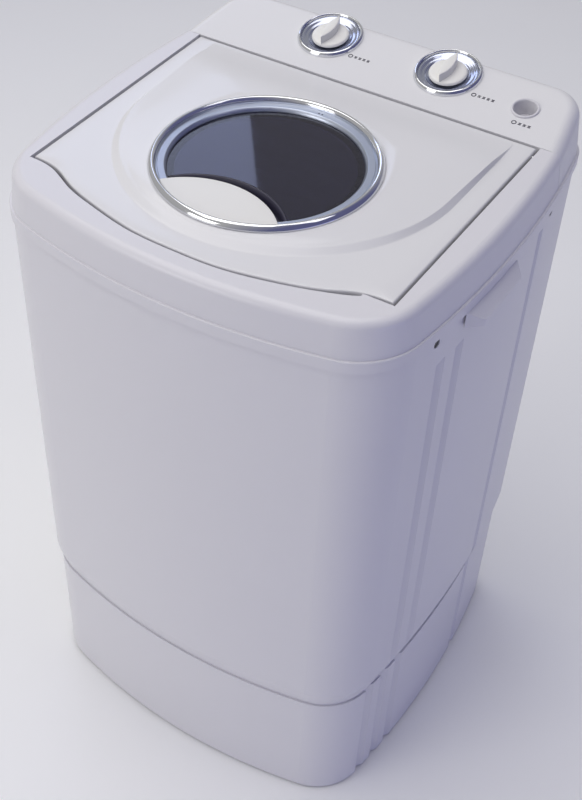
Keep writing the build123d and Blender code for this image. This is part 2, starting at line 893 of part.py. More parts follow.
def make_timer():
    """Clockwork wash timer under the panel, with a neck up to the dial cup."""
    bottom = switch_top - timer_height
    case = Pos(0, 0, switch_top - timer_height / 2) * Box(timer_width, timer_depth, timer_height)
    case = fillet(case.edges().filter_by(Axis.Z), timer_corner)
    for side in (-1, 1):
        for step in range(timer_tabs):
            y = (step - 1) * timer_depth / 4
            case += Pos(side * timer_width / 4, y, bottom - tab_size[2] / 2) * Box(*tab_size)
    case += cylinder(neck_radius, switch_top, switch_top + dial_cup_wall)
    return case - cylinder(knob_shaft_radius + running_gap, bottom + timer_floor, 0)


def make_selector():
    """Bracket under the panel that carries the drain knob's shaft."""
    plate = Pos(0, 0, switch_top - selector_plate / 2) * Box(timer_width, timer_depth, selector_plate)
    plate = fillet(plate.edges().filter_by(Axis.Z), timer_corner)
    boss_bottom = switch_top - selector_plate - selector_boss
    plate += cylinder(neck_radius + selector_boss_wall, boss_bottom, switch_top)
    plate += cylinder(neck_radius, switch_top, switch_top + dial_cup_wall)
    return plate - cylinder(knob_shaft_radius + running_gap, -cam_depth, 0)


def cam_turned(angle):
    """Direction in the cam's own plane, in degrees from +X."""
    return Vector(math.cos(math.radians(angle)), math.sin(math.radians(angle)), 0)


def make_cam_shaft():
    """Drain knob's shaft with a drum whose oblique upper face lifts the drain rod as it turns."""
    drum = cylinder(cam_radius, -cam_depth - 2 * cam_radius, 2 * cam_radius - cam_depth)
    slope = math.radians(cam_tilt)
    high_side = cam_turned(135.0)
    normal = Vector(0, 0, math.cos(slope)) - high_side * math.sin(slope)
    drum = split(drum, Plane(origin=(0, 0, -cam_depth), z_dir=normal), keep=Keep.BOTTOM)
    drum &= Pos(0, 0, -cam_depth) * Box(4 * cam_radius, 4 * cam_radius, 2 * cam_radius)
    return drum + make_knob_shaft(-cam_depth - cam_radius)


def make_inlet_cup():
    """Funnel in the panel where a fill hose is pushed in, with a spigot below."""
    mouth = inlet_hole_radius - snug_gap
    bowl = loft([Pos(0, 0, -inlet_depth) * Circle(spigot_radius), Circle(mouth)])
    bowl += cylinder(inlet_radius, 0, inlet_flange)
    bowl += cylinder(spigot_radius, -inlet_depth - inlet_spigot, -inlet_depth)
    foot = Pos(0, 0, inlet_flange - inlet_depth) * Circle(spigot_radius - inlet_flange)
    inside = loft([foot, Pos(0, 0, inlet_flange) * Circle(mouth - inlet_flange / 2)])
    return bowl - inside - Cylinder(inlet_bore_radius, 4 * inlet_depth)


def make_inlet_hose():
    """Short hose from the inlet's spigot to the tub's side stub."""
    start = inlet_line(inlet_depth + inlet_spigot / 2)
    bend = inlet_line(inlet_depth + inlet_spigot / 2 + inlet_hose_drop)
    aim = Vector(-bend.X, tub_y - bend.Y, 0).normalized()
    reach = math.hypot(bend.X, bend.Y - tub_y) - tub_outer - stub_length / 2
    path = FilletPolyline(start, bend, bend + aim * reach, radius=inlet_hose_bend)
    inner = spigot_radius + snug_gap
    section = Plane(origin=start, z_dir=-panel_normal) * (Circle(inner + hose_wall) - Circle(inner))
    return sweep(section, path=path)


def inlet_line(depth):
    """Point on the inlet's axis, below the panel's face by depth."""
    return Vector(inlet_x, inlet_y, panel_height(inlet_y)) - panel_normal * depth


# ---------------------------------------------------------------- tub and pulsator


def make_tub():
    """Wash tub: round wall, dished floor, flange under the deck, stubs for the hoses, four legs."""
    bottom = tub_floor - tub_floor_wall
    body = cylinder(tub_outer, bottom, tub_top, 0, tub_y)
    body = fillet(body.edges().group_by(Axis.Z)[0], tub_floor_round + tub_wall)
    hollow = cylinder(tub_radius, tub_floor, tub_top, 0, tub_y)
    hollow = fillet(hollow.edges().group_by(Axis.Z)[0], tub_floor_round)
    flange = slab(footprint(rim_wall + seam), cabinet_top, tub_top)
    flange -= block((-body_width, body_width), (panel_front + wall, body_depth), (cabinet_top, tub_top))
    for y, z in side_screw_places():
        outer = skin_x(abs(y) + lug_half, cabinet_inset) - wall - seam
        lug = block((outer - lug_depth, outer), (y - lug_half, y + lug_half), (z - lug_half, cabinet_top))
        lug += block((tub_radius / 2, outer), (y - lug_half, y + lug_half), (cabinet_top - wall, tub_top))
        hole = rod_along_x(cover_screw_radius, y, z, outer - 2 * lug_depth, outer)
        for side in both_sides(lug - hole):
            flange += side
    for x, y in bracket_leg_places():
        body += cylinder(leg_radius, bracket_top, bottom + tub_wall, x, y)
    duct_y = tub_y + math.sqrt(tub_radius**2 - rod_x**2)
    duct_end = rod_y - valve_radius - seam
    duct = rod_along_y(duct_outer, rod_x, drain_duct_height, duct_y, duct_end)
    stub = inlet_stub(spigot_radius)
    tub = body + flange + duct + stub - hollow - inlet_stub(inlet_bore_radius)
    tub -= rod_along_y(drain_duct_radius, rod_x, drain_duct_height, duct_y - 2 * tub_wall, duct_end)
    tub -= cylinder(tub_hub_radius, bottom, tub_floor, 0, tub_y)
    return tub - filter_window(0.0)


def bracket_leg_places():
    """Places of the tub's legs on the motor bracket."""
    return [(x, y) for x in (-leg_x, leg_x) for y in (tub_y - leg_reach, tub_y + leg_reach)]


def inlet_stub(radius):
    """Horizontal pipe through the tub's wall, aimed at the inlet."""
    bend = inlet_line(inlet_depth + inlet_spigot / 2 + inlet_hose_drop)
    aim = Vector(bend.X, bend.Y - tub_y, 0).normalized()
    start = Vector(0, tub_y, bend.Z) + aim * (tub_radius - tub_wall / 3)
    section = Plane(origin=start, z_dir=aim) * Circle(radius)
    return extrude(section, stub_length + tub_wall, dir=tuple(aim))


def filter_window(grow):
    """Slot in the left of the tub's wall where the lint filter clips in."""
    reach = tub_outer + seam
    half = filter_width / 2 - grow
    low = filter_bottom + grow
    high = filter_bottom + filter_height - grow
    return block((-reach, filter_width / 4 - tub_radius), (tub_y - half, tub_y + half), (low, high))


def make_lint_filter():
    """Curved lint filter frame that fills the slot in the tub's wall, with open slits."""
    frame = ring(tub_outer, tub_radius, filter_bottom, filter_bottom + filter_height, 0, tub_y)
    frame &= filter_window(snug_gap)
    for step in range(filter_slits):
        z = filter_bottom + filter_height * (step + 1) / (filter_slits + 1)
        slit_y = (tub_y - filter_width / 3, tub_y + filter_width / 3)
        frame -= block((-tub_outer, 0), slit_y, (z - filter_slit_half, z + filter_slit_half))
    return frame


def make_gasket():
    """Soft ring between the tub's flange and the deck's throat."""
    outer = throat_radius + 2 * wall
    return ring(outer, throat_radius - wall / 3, tub_top, tub_top + gasket_height, 0, tub_y)


def make_drain_grille():
    """Round grille that covers the mouth of the drain duct in the tub's wall."""
    mouth_y = tub_y + math.sqrt(tub_radius**2 - rod_x**2)
    start = mouth_y + grille_thickness
    end = start + grille_thickness
    grille = rod_along_y(drain_duct_radius - snug_gap, rod_x, drain_duct_height, start, end)
    reach = drain_duct_radius / 2
    slit_z = (drain_duct_height - reach, drain_duct_height + reach)
    for step in (-1, 0, 1):
        x = rod_x + step * grille_pitch
        grille -= block((x - grille_bar / 2, x + grille_bar / 2), (start, end), slit_z)
    return grille


def make_pulsator():
    """Pulsator disc with curved vanes round a hub on the drive shaft."""
    bottom = pulsator_bottom
    top = bottom + pulsator_plate
    plate = cylinder(pulsator_radius, bottom, top)
    plate = fillet(plate.edges().group_by(Axis.Z)[-1], pulsator_plate / 2)
    height = pulsator_vane_height
    plan = Pos(pulsator_radius / 2, 0) * SlotOverall(pulsator_radius - vane_setback, vane_width)
    vane = Pos(0, 0, top) * extrude(plan, height, dir=(0, 0, 1), taper=vane_taper)
    vane = fillet(vane.edges().group_by(Axis.Z)[-1], vane_edge_radius)
    for step in range(pulsator_vanes):
        plate += Rot(0, 0, 360 * step / pulsator_vanes) * vane
    hub_top = bottom + pulsator_hub_height
    plate += cylinder(pulsator_hub_radius, bottom, hub_top)
    plate -= cylinder(shaft_radius + snug_gap, bottom, shaft_top)
    plate -= cylinder(screw_radius + snug_gap, bottom, hub_top)
    plate -= cylinder(screw_head_radius + seam, hub_top - hub_recess, hub_top)
    return Pos(0, tub_y, 0) * plate


def make_pulsator_screw():
    """Cross-head screw that holds the pulsator down on the shaft."""
    seat = pulsator_bottom + pulsator_hub_height - hub_recess
    top = seat + screw_head_height
    head = cylinder(screw_head_radius, seat, top, 0, tub_y)
    for turn in (0, 90):
        slot = Rot(0, 0, turn) * Box(screw_head_radius, screw_slot, screw_head_height)
        head -= Pos(0, tub_y, top) * slot
    return head + cylinder(screw_radius, seat - pulsator_screw_length, seat, 0, tub_y)


# ---------------------------------------------------------------- drive


def make_drive_shaft():
    """Stepped shaft: plain through the bushes, then the pulley seat and a threaded end."""
    seat_top = pulley_top + hub_rise
    shaft = cylinder(shaft_radius, seat_top, shaft_top)
    shaft += cylinder(shaft_pulley_radius, hub_bottom, seat_top)
    shaft += cylinder(shaft_thread_radius, hub_bottom - thread_length, hub_bottom)
    shaft -= cylinder(screw_radius + snug_gap, shaft_top - shaft_tap_depth, shaft_top)
    return Pos(0, tub_y, 0) * shaft


def make_pulley(radius, bore, hub_top, hub_radius, y):
    """V-belt pulley: grooved rim, thin web with holes, and a hub."""
    bottom = pulley_height
    middle = (bottom + pulley_top) / 2
    rim = cylinder(radius + pulley_lip, bottom, pulley_top)
    half_groove = belt_width / 2 + fit_gap
    floor = radius - pulley_groove_depth
    rim -= ring(radius + 2 * pulley_lip, floor, middle - half_groove, middle + half_groove)
    if radius > 2 * hub_radius:
        inner = radius - pulley_rim
        rim -= ring(inner, hub_radius, bottom, middle - pulley_web / 2)
        rim -= ring(inner, hub_radius, middle + pulley_web / 2, pulley_top)
        for step in range(pulley_holes):
            turn = Rot(0, 0, 360 * step / pulley_holes)
            rim -= turn * cylinder(pulley_hole_radius, bottom, pulley_top, (inner + hub_radius) / 2)
    rim += cylinder(hub_radius, hub_bottom, hub_top)
    return Pos(0, y, 0) * (rim - cylinder(bore + snug_gap, 0, tub_floor))


def make_pulley_nut():
    """Hexagon nut under the large pulley."""
    nut = slab(RegularPolygon(nut_radius, 6), hub_bottom - nut_height, hub_bottom)
    return Pos(0, tub_y, 0) * (nut - cylinder(shaft_thread_radius + snug_gap, 0, hub_bottom))


def make_belt():
    """Drive belt: two straight runs and an arc round each pulley."""
    middle = pulley_height + pulley_width / 2

    def loop(extra):
        large = large_pulley_radius - pulley_groove_depth + fit_gap + extra
        small = motor_pulley_radius - pulley_groove_depth + fit_gap + extra
        span = motor_y - tub_y
        lean = math.asin((large - small) / span)
        sides = [
            (radius * math.cos(lean), centre + radius * math.sin(lean))
            for radius, centre in ((large, tub_y), (small, motor_y))
        ]
        (lx, ly), (sx, sy) = sides
        edges = [
            Line((lx, ly), (sx, sy)),
            ThreePointArc((sx, sy), (0, motor_y + small), (-sx, sy)),
            Line((-sx, sy), (-lx, ly)),
            ThreePointArc((-lx, ly), (0, tub_y - large), (lx, ly)),
        ]
        return make_face(edges)

    section = loop(belt_thickness) - loop(0.0)
    return slab(section, middle - belt_width / 2, middle + belt_width / 2)


def make_bearing_housing():
    """Bearing housing: long sleeve with a flange on the motor bracket and a neck in the tub's hub."""
    flange_top = bracket_top + housing_flange_height
    body = cylinder(sleeve_outer, bearing_bottom, bracket_top)
    body += cylinder(sleeve_outer + housing_flange, bracket_top, flange_top)
    body += cylinder(tub_hub_radius - snug_gap, flange_top, housing_top)
    for x, y in housing_screw_places():
        body -= cylinder(screw_radius, bracket_top, flange_top, x, y - tub_y)
    body -= cylinder(shaft_radius + housing_bore_gap, bearing_bottom, housing_top)
    body -= cylinder(bush_outer, bearing_bottom, bearing_bottom + bush_length)
    body -= cylinder(bush_outer, upper_bush_bottom, housing_top)
    return Pos(0, tub_y, 0) * body


def make_bush(bottom):
    """Bronze bush pressed into the bearing housing."""
    inner = shaft_radius + running_gap
    return ring(bush_outer - snug_gap, inner, bottom, bottom + bush_length, 0, tub_y)


def make_shaft_seal():
    """Rubber lip seal above the upper bush."""
    inner = shaft_radius + running_gap
    return ring(bush_outer - snug_gap, inner, housing_top - seal_height, housing_top, 0, tub_y)


def housing_screw_places():
    """Screws of the bearing housing's flange."""
    reach = (sleeve_outer + housing_flange * 9 / 16) * math.cos(math.radians(45))
    return [(x, tub_y + y) for x in (-reach, reach) for y in (-reach, reach)]


def make_bracket():
    """Steel plate under the tub that carries the bearing housing and the motor."""
    half = mount_circle + mount_radius + bracket_margin
    neck_y = motor_y + mount_radius + bracket_margin
    neck = 2 * mount_radius
    plate = block((-half, half), (tub_y - leg_reach - bracket_end, neck_y), (bracket_height, bracket_top))
    plate += block((-neck, neck), (neck_y - bracket_margin, motor_y + half), (bracket_height, bracket_top))
    plate = fillet(plate.edges().filter_by(Axis.Z), bracket_corner)
    plate -= cylinder(sleeve_outer + snug_gap, bracket_height, bracket_top, 0, tub_y)
    for x, y in motor_mount_places() + housing_screw_places():
        plate -= cylinder(screw_radius + snug_gap, bracket_height, bracket_top, x, y)
    return plate


def motor_mount_places():
    """Screws of the motor, on a circle round its shaft."""
    reach = mount_circle
    return [(x, motor_y + y) for x, y in ((reach, 0), (0, reach), (-reach, 0), (0, -reach))]


def motor_cap_span():
    """Bottom and top of the motor's upper cap."""
    bottom = motor_bottom + motor_can_height
    return bottom, bottom + motor_cap_height


def make_motor_housing():
    """Motor can with a floor and vent slots."""
    bottom = motor_bottom
    can = cylinder(motor_radius, bottom, bottom + motor_can_height, 0, motor_y)
    can -= cylinder(motor_radius - wall, bottom + wall, bottom + motor_can_height, 0, motor_y)
    can -= cylinder(motor_shaft_radius + running_gap, bottom, bottom + wall, 0, motor_y)
    vent_z = (bottom + motor_vent_low, bottom + motor_vent_high)
    for step in range(motor_vents):
        turn = Pos(0, motor_y, 0) * Rot(0, 0, 360 * step / motor_vents)
        can -= turn * block((stator_outer, motor_radius + wall), (-motor_vent_half, motor_vent_half), vent_z)
    return can


def make_motor_cap():
    """Upper motor cap with four ears for the rubber mounts."""
    bottom, top = motor_cap_span()
    cap = cylinder(motor_radius, bottom, top, 0, motor_y)
    for x, y in motor_mount_places():
        cap += cylinder(mount_radius, bottom, top, x, y)
    for x, y in motor_mount_places():
        cap -= cylinder(screw_radius + snug_gap, bottom, top, x, y)
    return cap - cylinder(motor_shaft_radius + running_gap, bottom, top, 0, motor_y)


def make_motor_mounts():
    """Rubber mounts between the motor's ears and the bracket."""
    _, top = motor_cap_span()
    inner = screw_radius + snug_gap
    return group([ring(mount_radius, inner, top, bracket_height, x, y) for x, y in motor_mount_places()])


def make_bracket_screws():
    """Screws that hold the motor and the bearing housing to the bracket."""
    bottom, _ = motor_cap_span()
    screws = []
    for x, y in motor_mount_places():
        shank = cylinder(screw_radius, bottom - screw_head_height, bracket_top, x, y)
        head = cylinder(screw_head_radius, bracket_top, bracket_top + screw_head_height, x, y)
        screws.append(shank + head)
    for x, y in housing_screw_places():
        shank_top = bracket_top + housing_flange_height - seam
        shank = cylinder(screw_radius - snug_gap, bracket_height, shank_top, x, y)
        head = cylinder(screw_head_radius, bracket_height - screw_head_height, bracket_height, x, y)
        screws.append(shank + head)
    return group(screws)


def make_stator():
    """Laminated stator ring with its winding, round the rotor."""
    bottom = motor_bottom + winding_gap
    top = motor_bottom + motor_can_height - winding_gap
    core = ring(stator_outer, rotor_radius + seam, bottom + winding_step, top - winding_step, 0, motor_y)
    inner = rotor_radius + winding_clearance
    return core + ring(stator_outer - winding_inset, inner, bottom, top, 0, motor_y)


def make_rotor():
    """Cast rotor on its shaft, which runs from the upper cap down to the small pulley."""
    bottom = motor_bottom + rotor_gap
    top = motor_bottom + motor_can_height - rotor_gap
    _, cap_top = motor_cap_span()
    shaft = cylinder(motor_shaft_radius, hub_bottom, cap_top - seam, 0, motor_y)
    return shaft + cylinder(rotor_radius, bottom, top, 0, motor_y)


def make_fan():
    """Cooling fan between the motor and its pulley."""
    bottom = pulley_top + fan_gap
    top = motor_bottom - fan_gap
    fan = cylinder(fan_hub_radius, bottom, top) + cylinder(fan_radius, top - fan_disc, top)
    for step in range(fan_blades):
        blade = block((fan_hub_radius / 2, fan_radius), (-fan_blade_half, fan_blade_half), (bottom, top))
        fan += Rot(0, 0, 360 * step / fan_blades) * blade
    return Pos(0, motor_y, 0) * (fan - cylinder(motor_shaft_radius + snug_gap, bottom, top))


def make_capacitor():
    """Motor capacitor standing on the plinth's floor."""
    bottom = foot_height + floor_wall
    top = bottom + capacitor_size[2]
    case = Pos(capacitor_x, capacitor_y, (bottom + top) / 2) * Box(*capacitor_size)
    case = fillet(case.edges().filter_by(Axis.Z), capacitor_corner)
    for side in (-1, 1):
        y = capacitor_y + side * terminal_offset
        case += Pos(capacitor_x, y, top + terminal_size[2] / 2) * Box(*terminal_size)
    return case


# ---------------------------------------------------------------- drain


def make_valve_box():
    """Drain valve body: inlet from the tub's duct, a seat, and an outlet pipe below."""
    seat = valve_seat_height
    top = seat + valve_box_height
    floor = seat - valve_floor
    body = cylinder(valve_radius, floor, top, rod_x, rod_y)
    body -= cylinder(valve_radius - valve_wall, seat, top, rod_x, rod_y)
    body += cylinder(duct_outer, floor - valve_spout, floor, rod_x, rod_y)
    body -= cylinder(valve_bore_radius, floor - valve_spout, seat, rod_x, rod_y)
    return body - rod_along_y(drain_duct_radius, rod_x, drain_duct_height, rod_y - 2 * valve_radius, rod_y)


def make_valve_cap():
    """Cap of the valve box with a guide for the pull rod."""
    bottom = valve_seat_height + valve_box_height
    cap = cylinder(valve_radius, bottom, bottom + wall, rod_x, rod_y)
    cap += cylinder(rod_radius + rod_guide_wall, bottom + wall, bottom + 3 * wall, rod_x, rod_y)
    return cap - cylinder(rod_radius + running_gap, bottom, bottom + 3 * wall, rod_x, rod_y)


def plunger_top():
    """Top of the plunger's disc at rest, where the spring stands."""
    return valve_seat_height + fit_gap + plunger_thickness


def make_plunger():
    """Rubber valve plug that the spring pushes down and the rod lifts."""
    top = plunger_top()
    plunger = cylinder(valve_bore_radius + plunger_lap, valve_seat_height + fit_gap, top, rod_x, rod_y)
    plunger += cylinder(rod_radius + rod_collar, top, top + plunger_thickness, rod_x, rod_y)
    return plunger - cylinder(rod_radius + snug_gap, top - rod_grip, top + plunger_thickness, rod_x, rod_y)


def make_valve_spring():
    """Coil spring between the plunger and the valve cap."""
    bottom = plunger_top() + spring_wire + fit_gap
    top = valve_seat_height + valve_box_height - spring_wire - fit_gap
    coil_radius = rod_radius + rod_collar + 3 * spring_wire
    height = top - bottom
    path = Helix(pitch=height / spring_turns, height=height, radius=coil_radius)
    start = path @ 0
    section = Plane(origin=start, z_dir=path % 0) * Circle(spring_wire)
    return Pos(rod_x, rod_y, bottom) * sweep(section, path=path, is_frenet=True)


def rod_top():
    """Height of the underside of the pull rod's finger, just clear of the cam at rest."""
    origin_z = panel_height(dial_y) - cam_depth * math.cos(tilt)
    tip = cam_radius - finger_reach
    low = tip * math.tan(math.radians(cam_tilt)) * math.cos(math.radians(45))
    return origin_z - low * math.cos(tilt) - tip * math.sin(tilt) + cam_follow_gap


def make_pull_rod():
    """Straight rod from the plunger up to a finger over the drain knob's cam."""
    top = rod_top()
    rod = cylinder(rod_radius, plunger_top() - rod_grip, top + finger_height, rod_x, rod_y)
    reach = cam_centre_y - cam_radius + finger_reach
    finger_x = (rod_x - rod_radius, rod_x + rod_radius)
    return rod + block(finger_x, (rod_y, reach), (top, top + finger_height))


def make_drain_hose():
    """Hose from the valve's outlet pipe down and back to the outlet fitting."""
    start = Vector(rod_x, rod_y, valve_seat_height - valve_floor - hose_lap + duct_wall)
    bend = Vector(rod_x, rod_y, drain_outlet_height)
    end = Vector(rod_x, plinth_back - drain_outlet_length + hose_lap, drain_outlet_height)
    path = FilletPolyline(start, bend, end, radius=plinth_back - drain_outlet_length - rod_y)
    inner = duct_outer + snug_gap
    section = Plane(origin=start, z_dir=(0, 0, -1)) * (Circle(inner + drain_hose_wall) - Circle(inner))
    return sweep(section, path=path)


def make_drain_outlet():
    """Flanged fitting in the plinth's back for the outside drain hose."""
    front = plinth_back - drain_outlet_length
    level = drain_outlet_height
    spigot = rod_along_y(duct_outer, rod_x, level, front, plinth_back)
    body = rod_along_y(drain_outlet_radius, rod_x, level, plinth_back - wall - fitting_grip, plinth_back)
    flange = rod_along_y(drain_outlet_radius + fitting_flange, rod_x, level, plinth_back, plinth_back + wall)
    return spigot + body + flange - rod_along_y(drain_duct_radius, rod_x, level, front, half_depth)


def make_gland():
    """Cable gland in the plinth's back."""
    start = plinth_back - gland_length
    body = rod_along_y(gland_radius, gland_x, gland_height, start, plinth_back)
    body += rod_along_y(gland_radius + gland_flange, gland_x, gland_height, plinth_back, plinth_back + wall)
    return body - rod_along_y(gland_bore_radius, gland_x, gland_height, start, half_depth)


# ---------------------------------------------------------------- assembly


def build_pieces():
    """Every node of the washer by name."""
    pieces = {
        "base_plinth": make_plinth(),
        "feet": make_feet(),
        "cabinet_shell": make_cabinet(),
        "rear_cover": make_rear_cover(),
        "rear_cover_screws": make_cover_screws(),
        "side_screws": make_side_screws(),
        "top_deck": make_deck(),
        "lid_bumpers": make_bumpers(),
        "control_panel": make_panel(),
        "carry_handles": group(make_handles()),
        "lid_panel": make_lid_panel(),
        "lid_hinge_pins": make_hinge_pins(),
        "lid_trim_ring": make_trim_ring(),
        "lid_bezel": make_bezel(),
        "lid_window": make_window(),
        "lid_grip_pocket": make_grip_pocket(),
        "lid_grip": make_grip(),
        "lid_liner": make_liner(),
        "inlet_cup": on_panel(inlet_x, inlet_y, make_inlet_cup()),
        "inlet_hose": make_inlet_hose(),
        "wash_timer": on_panel(dial_places["wash"], dial_y, make_timer()),
        "wash_timer_shaft": on_panel(dial_places["wash"], dial_y, make_knob_shaft(timer_shaft_end)),
        "drain_selector": on_panel(dial_places["drain"], dial_y, make_selector()),
        "drain_cam_shaft": on_panel(dial_places["drain"], dial_y, make_cam_shaft()),
        "wash_tub": make_tub(),
        "tub_gasket": make_gasket(),
        "lint_filter": make_lint_filter(),
        "drain_grille": make_drain_grille(),
        "pulsator": make_pulsator(),
        "pulsator_screw": make_pulsator_screw(),
        "drive_shaft": make_drive_shaft(),
        "large_pulley": make_pulley(
            large_pulley_radius, shaft_pulley_radius, pulley_top + hub_rise, large_hub_radius, tub_y
        ),
        "pulley_nut": make_pulley_nut(),
        "drive_belt": make_belt(),
        "bearing_housing": make_bearing_housing(),
        "shaft_bushes": group([make_bush(bearing_bottom), make_bush(upper_bush_bottom)]),
        "shaft_seal": make_shaft_seal(),
        "motor_bracket": make_bracket(),
        "motor_housing": make_motor_housing(),
        "motor_cap": make_motor_cap(),
        "motor_mounts": make_motor_mounts(),
        "bracket_screws": make_bracket_screws(),
        "motor_stator": make_stator(),
        "motor_rotor": make_rotor(),
        "motor_pulley": make_pulley(
            motor_pulley_radius, motor_shaft_radius, pulley_top, small_hub_radius, motor_y
        ),
        "motor_fan": make_fan(),
        "motor_capacitor": make_capacitor(),
        "drain_valve_box": make_valve_box(),
        "drain_valve_cap": make_valve_cap(),
        "drain_plunger": make_plunger(),
        "drain_valve_spring": make_valve_spring(),
        "drain_pull_rod": make_pull_rod(),
        "drain_hose": make_drain_hose(),
        "drain_outlet": make_drain_outlet(),
        "cord_gland": make_gland(),
    }
    pieces["dial_cups"] = group([on_panel(x, dial_y, make_dial_cup()) for x in dial_places.values()])
    for name, x in dial_places.items():
        pieces[f"{name}_dial_ring"] = on_panel(x, dial_y, make_dial_ring())
        pieces[f"{name}_knob"] = on_panel(x, dial_y, make_knob())
    return pieces


def main():
    os.makedirs("parts", exist_ok=True)
    for name, shape in build_pieces().items():
        export_step(shape, f"parts/{name}.step")


main()
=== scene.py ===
"""Portable mini washer: finishes, lid, window, dials, inlet and studio round the fixed frame."""

import json
import math

import bmesh
import bpy
from mathutils import Matrix, Vector
from mathutils.geometry import interpolate_bezier


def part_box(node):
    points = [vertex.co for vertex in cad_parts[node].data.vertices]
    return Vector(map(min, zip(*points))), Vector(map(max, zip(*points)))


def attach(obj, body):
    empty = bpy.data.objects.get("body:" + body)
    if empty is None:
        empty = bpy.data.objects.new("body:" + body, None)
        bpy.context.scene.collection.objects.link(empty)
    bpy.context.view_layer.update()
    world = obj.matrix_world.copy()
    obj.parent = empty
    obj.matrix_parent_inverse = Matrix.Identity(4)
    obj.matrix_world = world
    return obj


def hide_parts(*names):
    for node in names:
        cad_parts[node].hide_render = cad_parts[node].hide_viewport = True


bl_info = {
    "name": "Portable mini washer",
    "version": (1, 0, 0),
    "blender": (4, 5, 0),
    "location": "3D View > Sidebar > Washer",
    "description": "Builds the visible pieces of a single-tub mini washer round its packed frame",
    "category": "Object",
}

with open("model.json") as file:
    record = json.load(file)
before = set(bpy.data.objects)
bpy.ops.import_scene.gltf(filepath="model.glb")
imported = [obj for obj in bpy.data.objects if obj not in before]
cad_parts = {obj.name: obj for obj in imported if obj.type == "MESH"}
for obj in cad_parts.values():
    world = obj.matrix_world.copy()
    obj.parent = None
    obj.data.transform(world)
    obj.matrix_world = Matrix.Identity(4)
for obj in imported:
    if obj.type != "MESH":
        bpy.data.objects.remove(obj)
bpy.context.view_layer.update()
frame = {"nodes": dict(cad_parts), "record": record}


# ---------------------------------------------------------------- places read from the frame


def named(rows, name):
    """Row of the record with a given name."""
    for row in rows:
        if row["name"] == name:
            return row
    raise ValueError(f"nothing in the record is named {name}")


def joint_place(name):
    """Place of a named joint at rest."""
    return Vector(named(frame["record"]["behaviour"]["joints"], name)["pos_m"])


RING_LOW, RING_HIGH = (Vector(corner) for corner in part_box("lid_trim_ring"))
LID_LOW, LID_HIGH = (Vector(corner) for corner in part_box("lid_panel"))
GRIP_LOW, GRIP_HIGH = (Vector(corner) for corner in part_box("lid_grip"))
GLASS_LOW, GLASS_HIGH = (Vector(corner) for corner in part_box("lid_window"))
POCKET_LOW, POCKET_HIGH = (Vector(corner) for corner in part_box("lid_grip_pocket"))
RING_MIDDLE = (RING_LOW + RING_HIGH) / 2
WINDOW = Vector((RING_MIDDLE.x, RING_MIDDLE.y, 0.0))
WASH_AT = joint_place("wash_turn")
DRAIN_AT = joint_place("drain_turn")
INLET = named(frame["record"]["mounts"], "fill_inlet")
PANEL_UP = Vector(INLET["axis"]).normalized()

CROWN_HEIGHT = 0.007
TRIM_SEAM = 0.00002
BEZEL_SEAM = 0.00005
GRIP_SEAM = 0.00006


# ---------------------------------------------------------------- sizes and colours


def length(name, value, description):
    """Length property in metres."""
    return bpy.props.FloatProperty(
        name=name, description=description, default=value, unit="LENGTH", subtype="DISTANCE", precision=5
    )


def colour(name, value, description):
    """Colour property."""
    return bpy.props.FloatVectorProperty(
        name=name, description=description, default=value, subtype="COLOR", size=3, min=0.0, max=1.0
    )


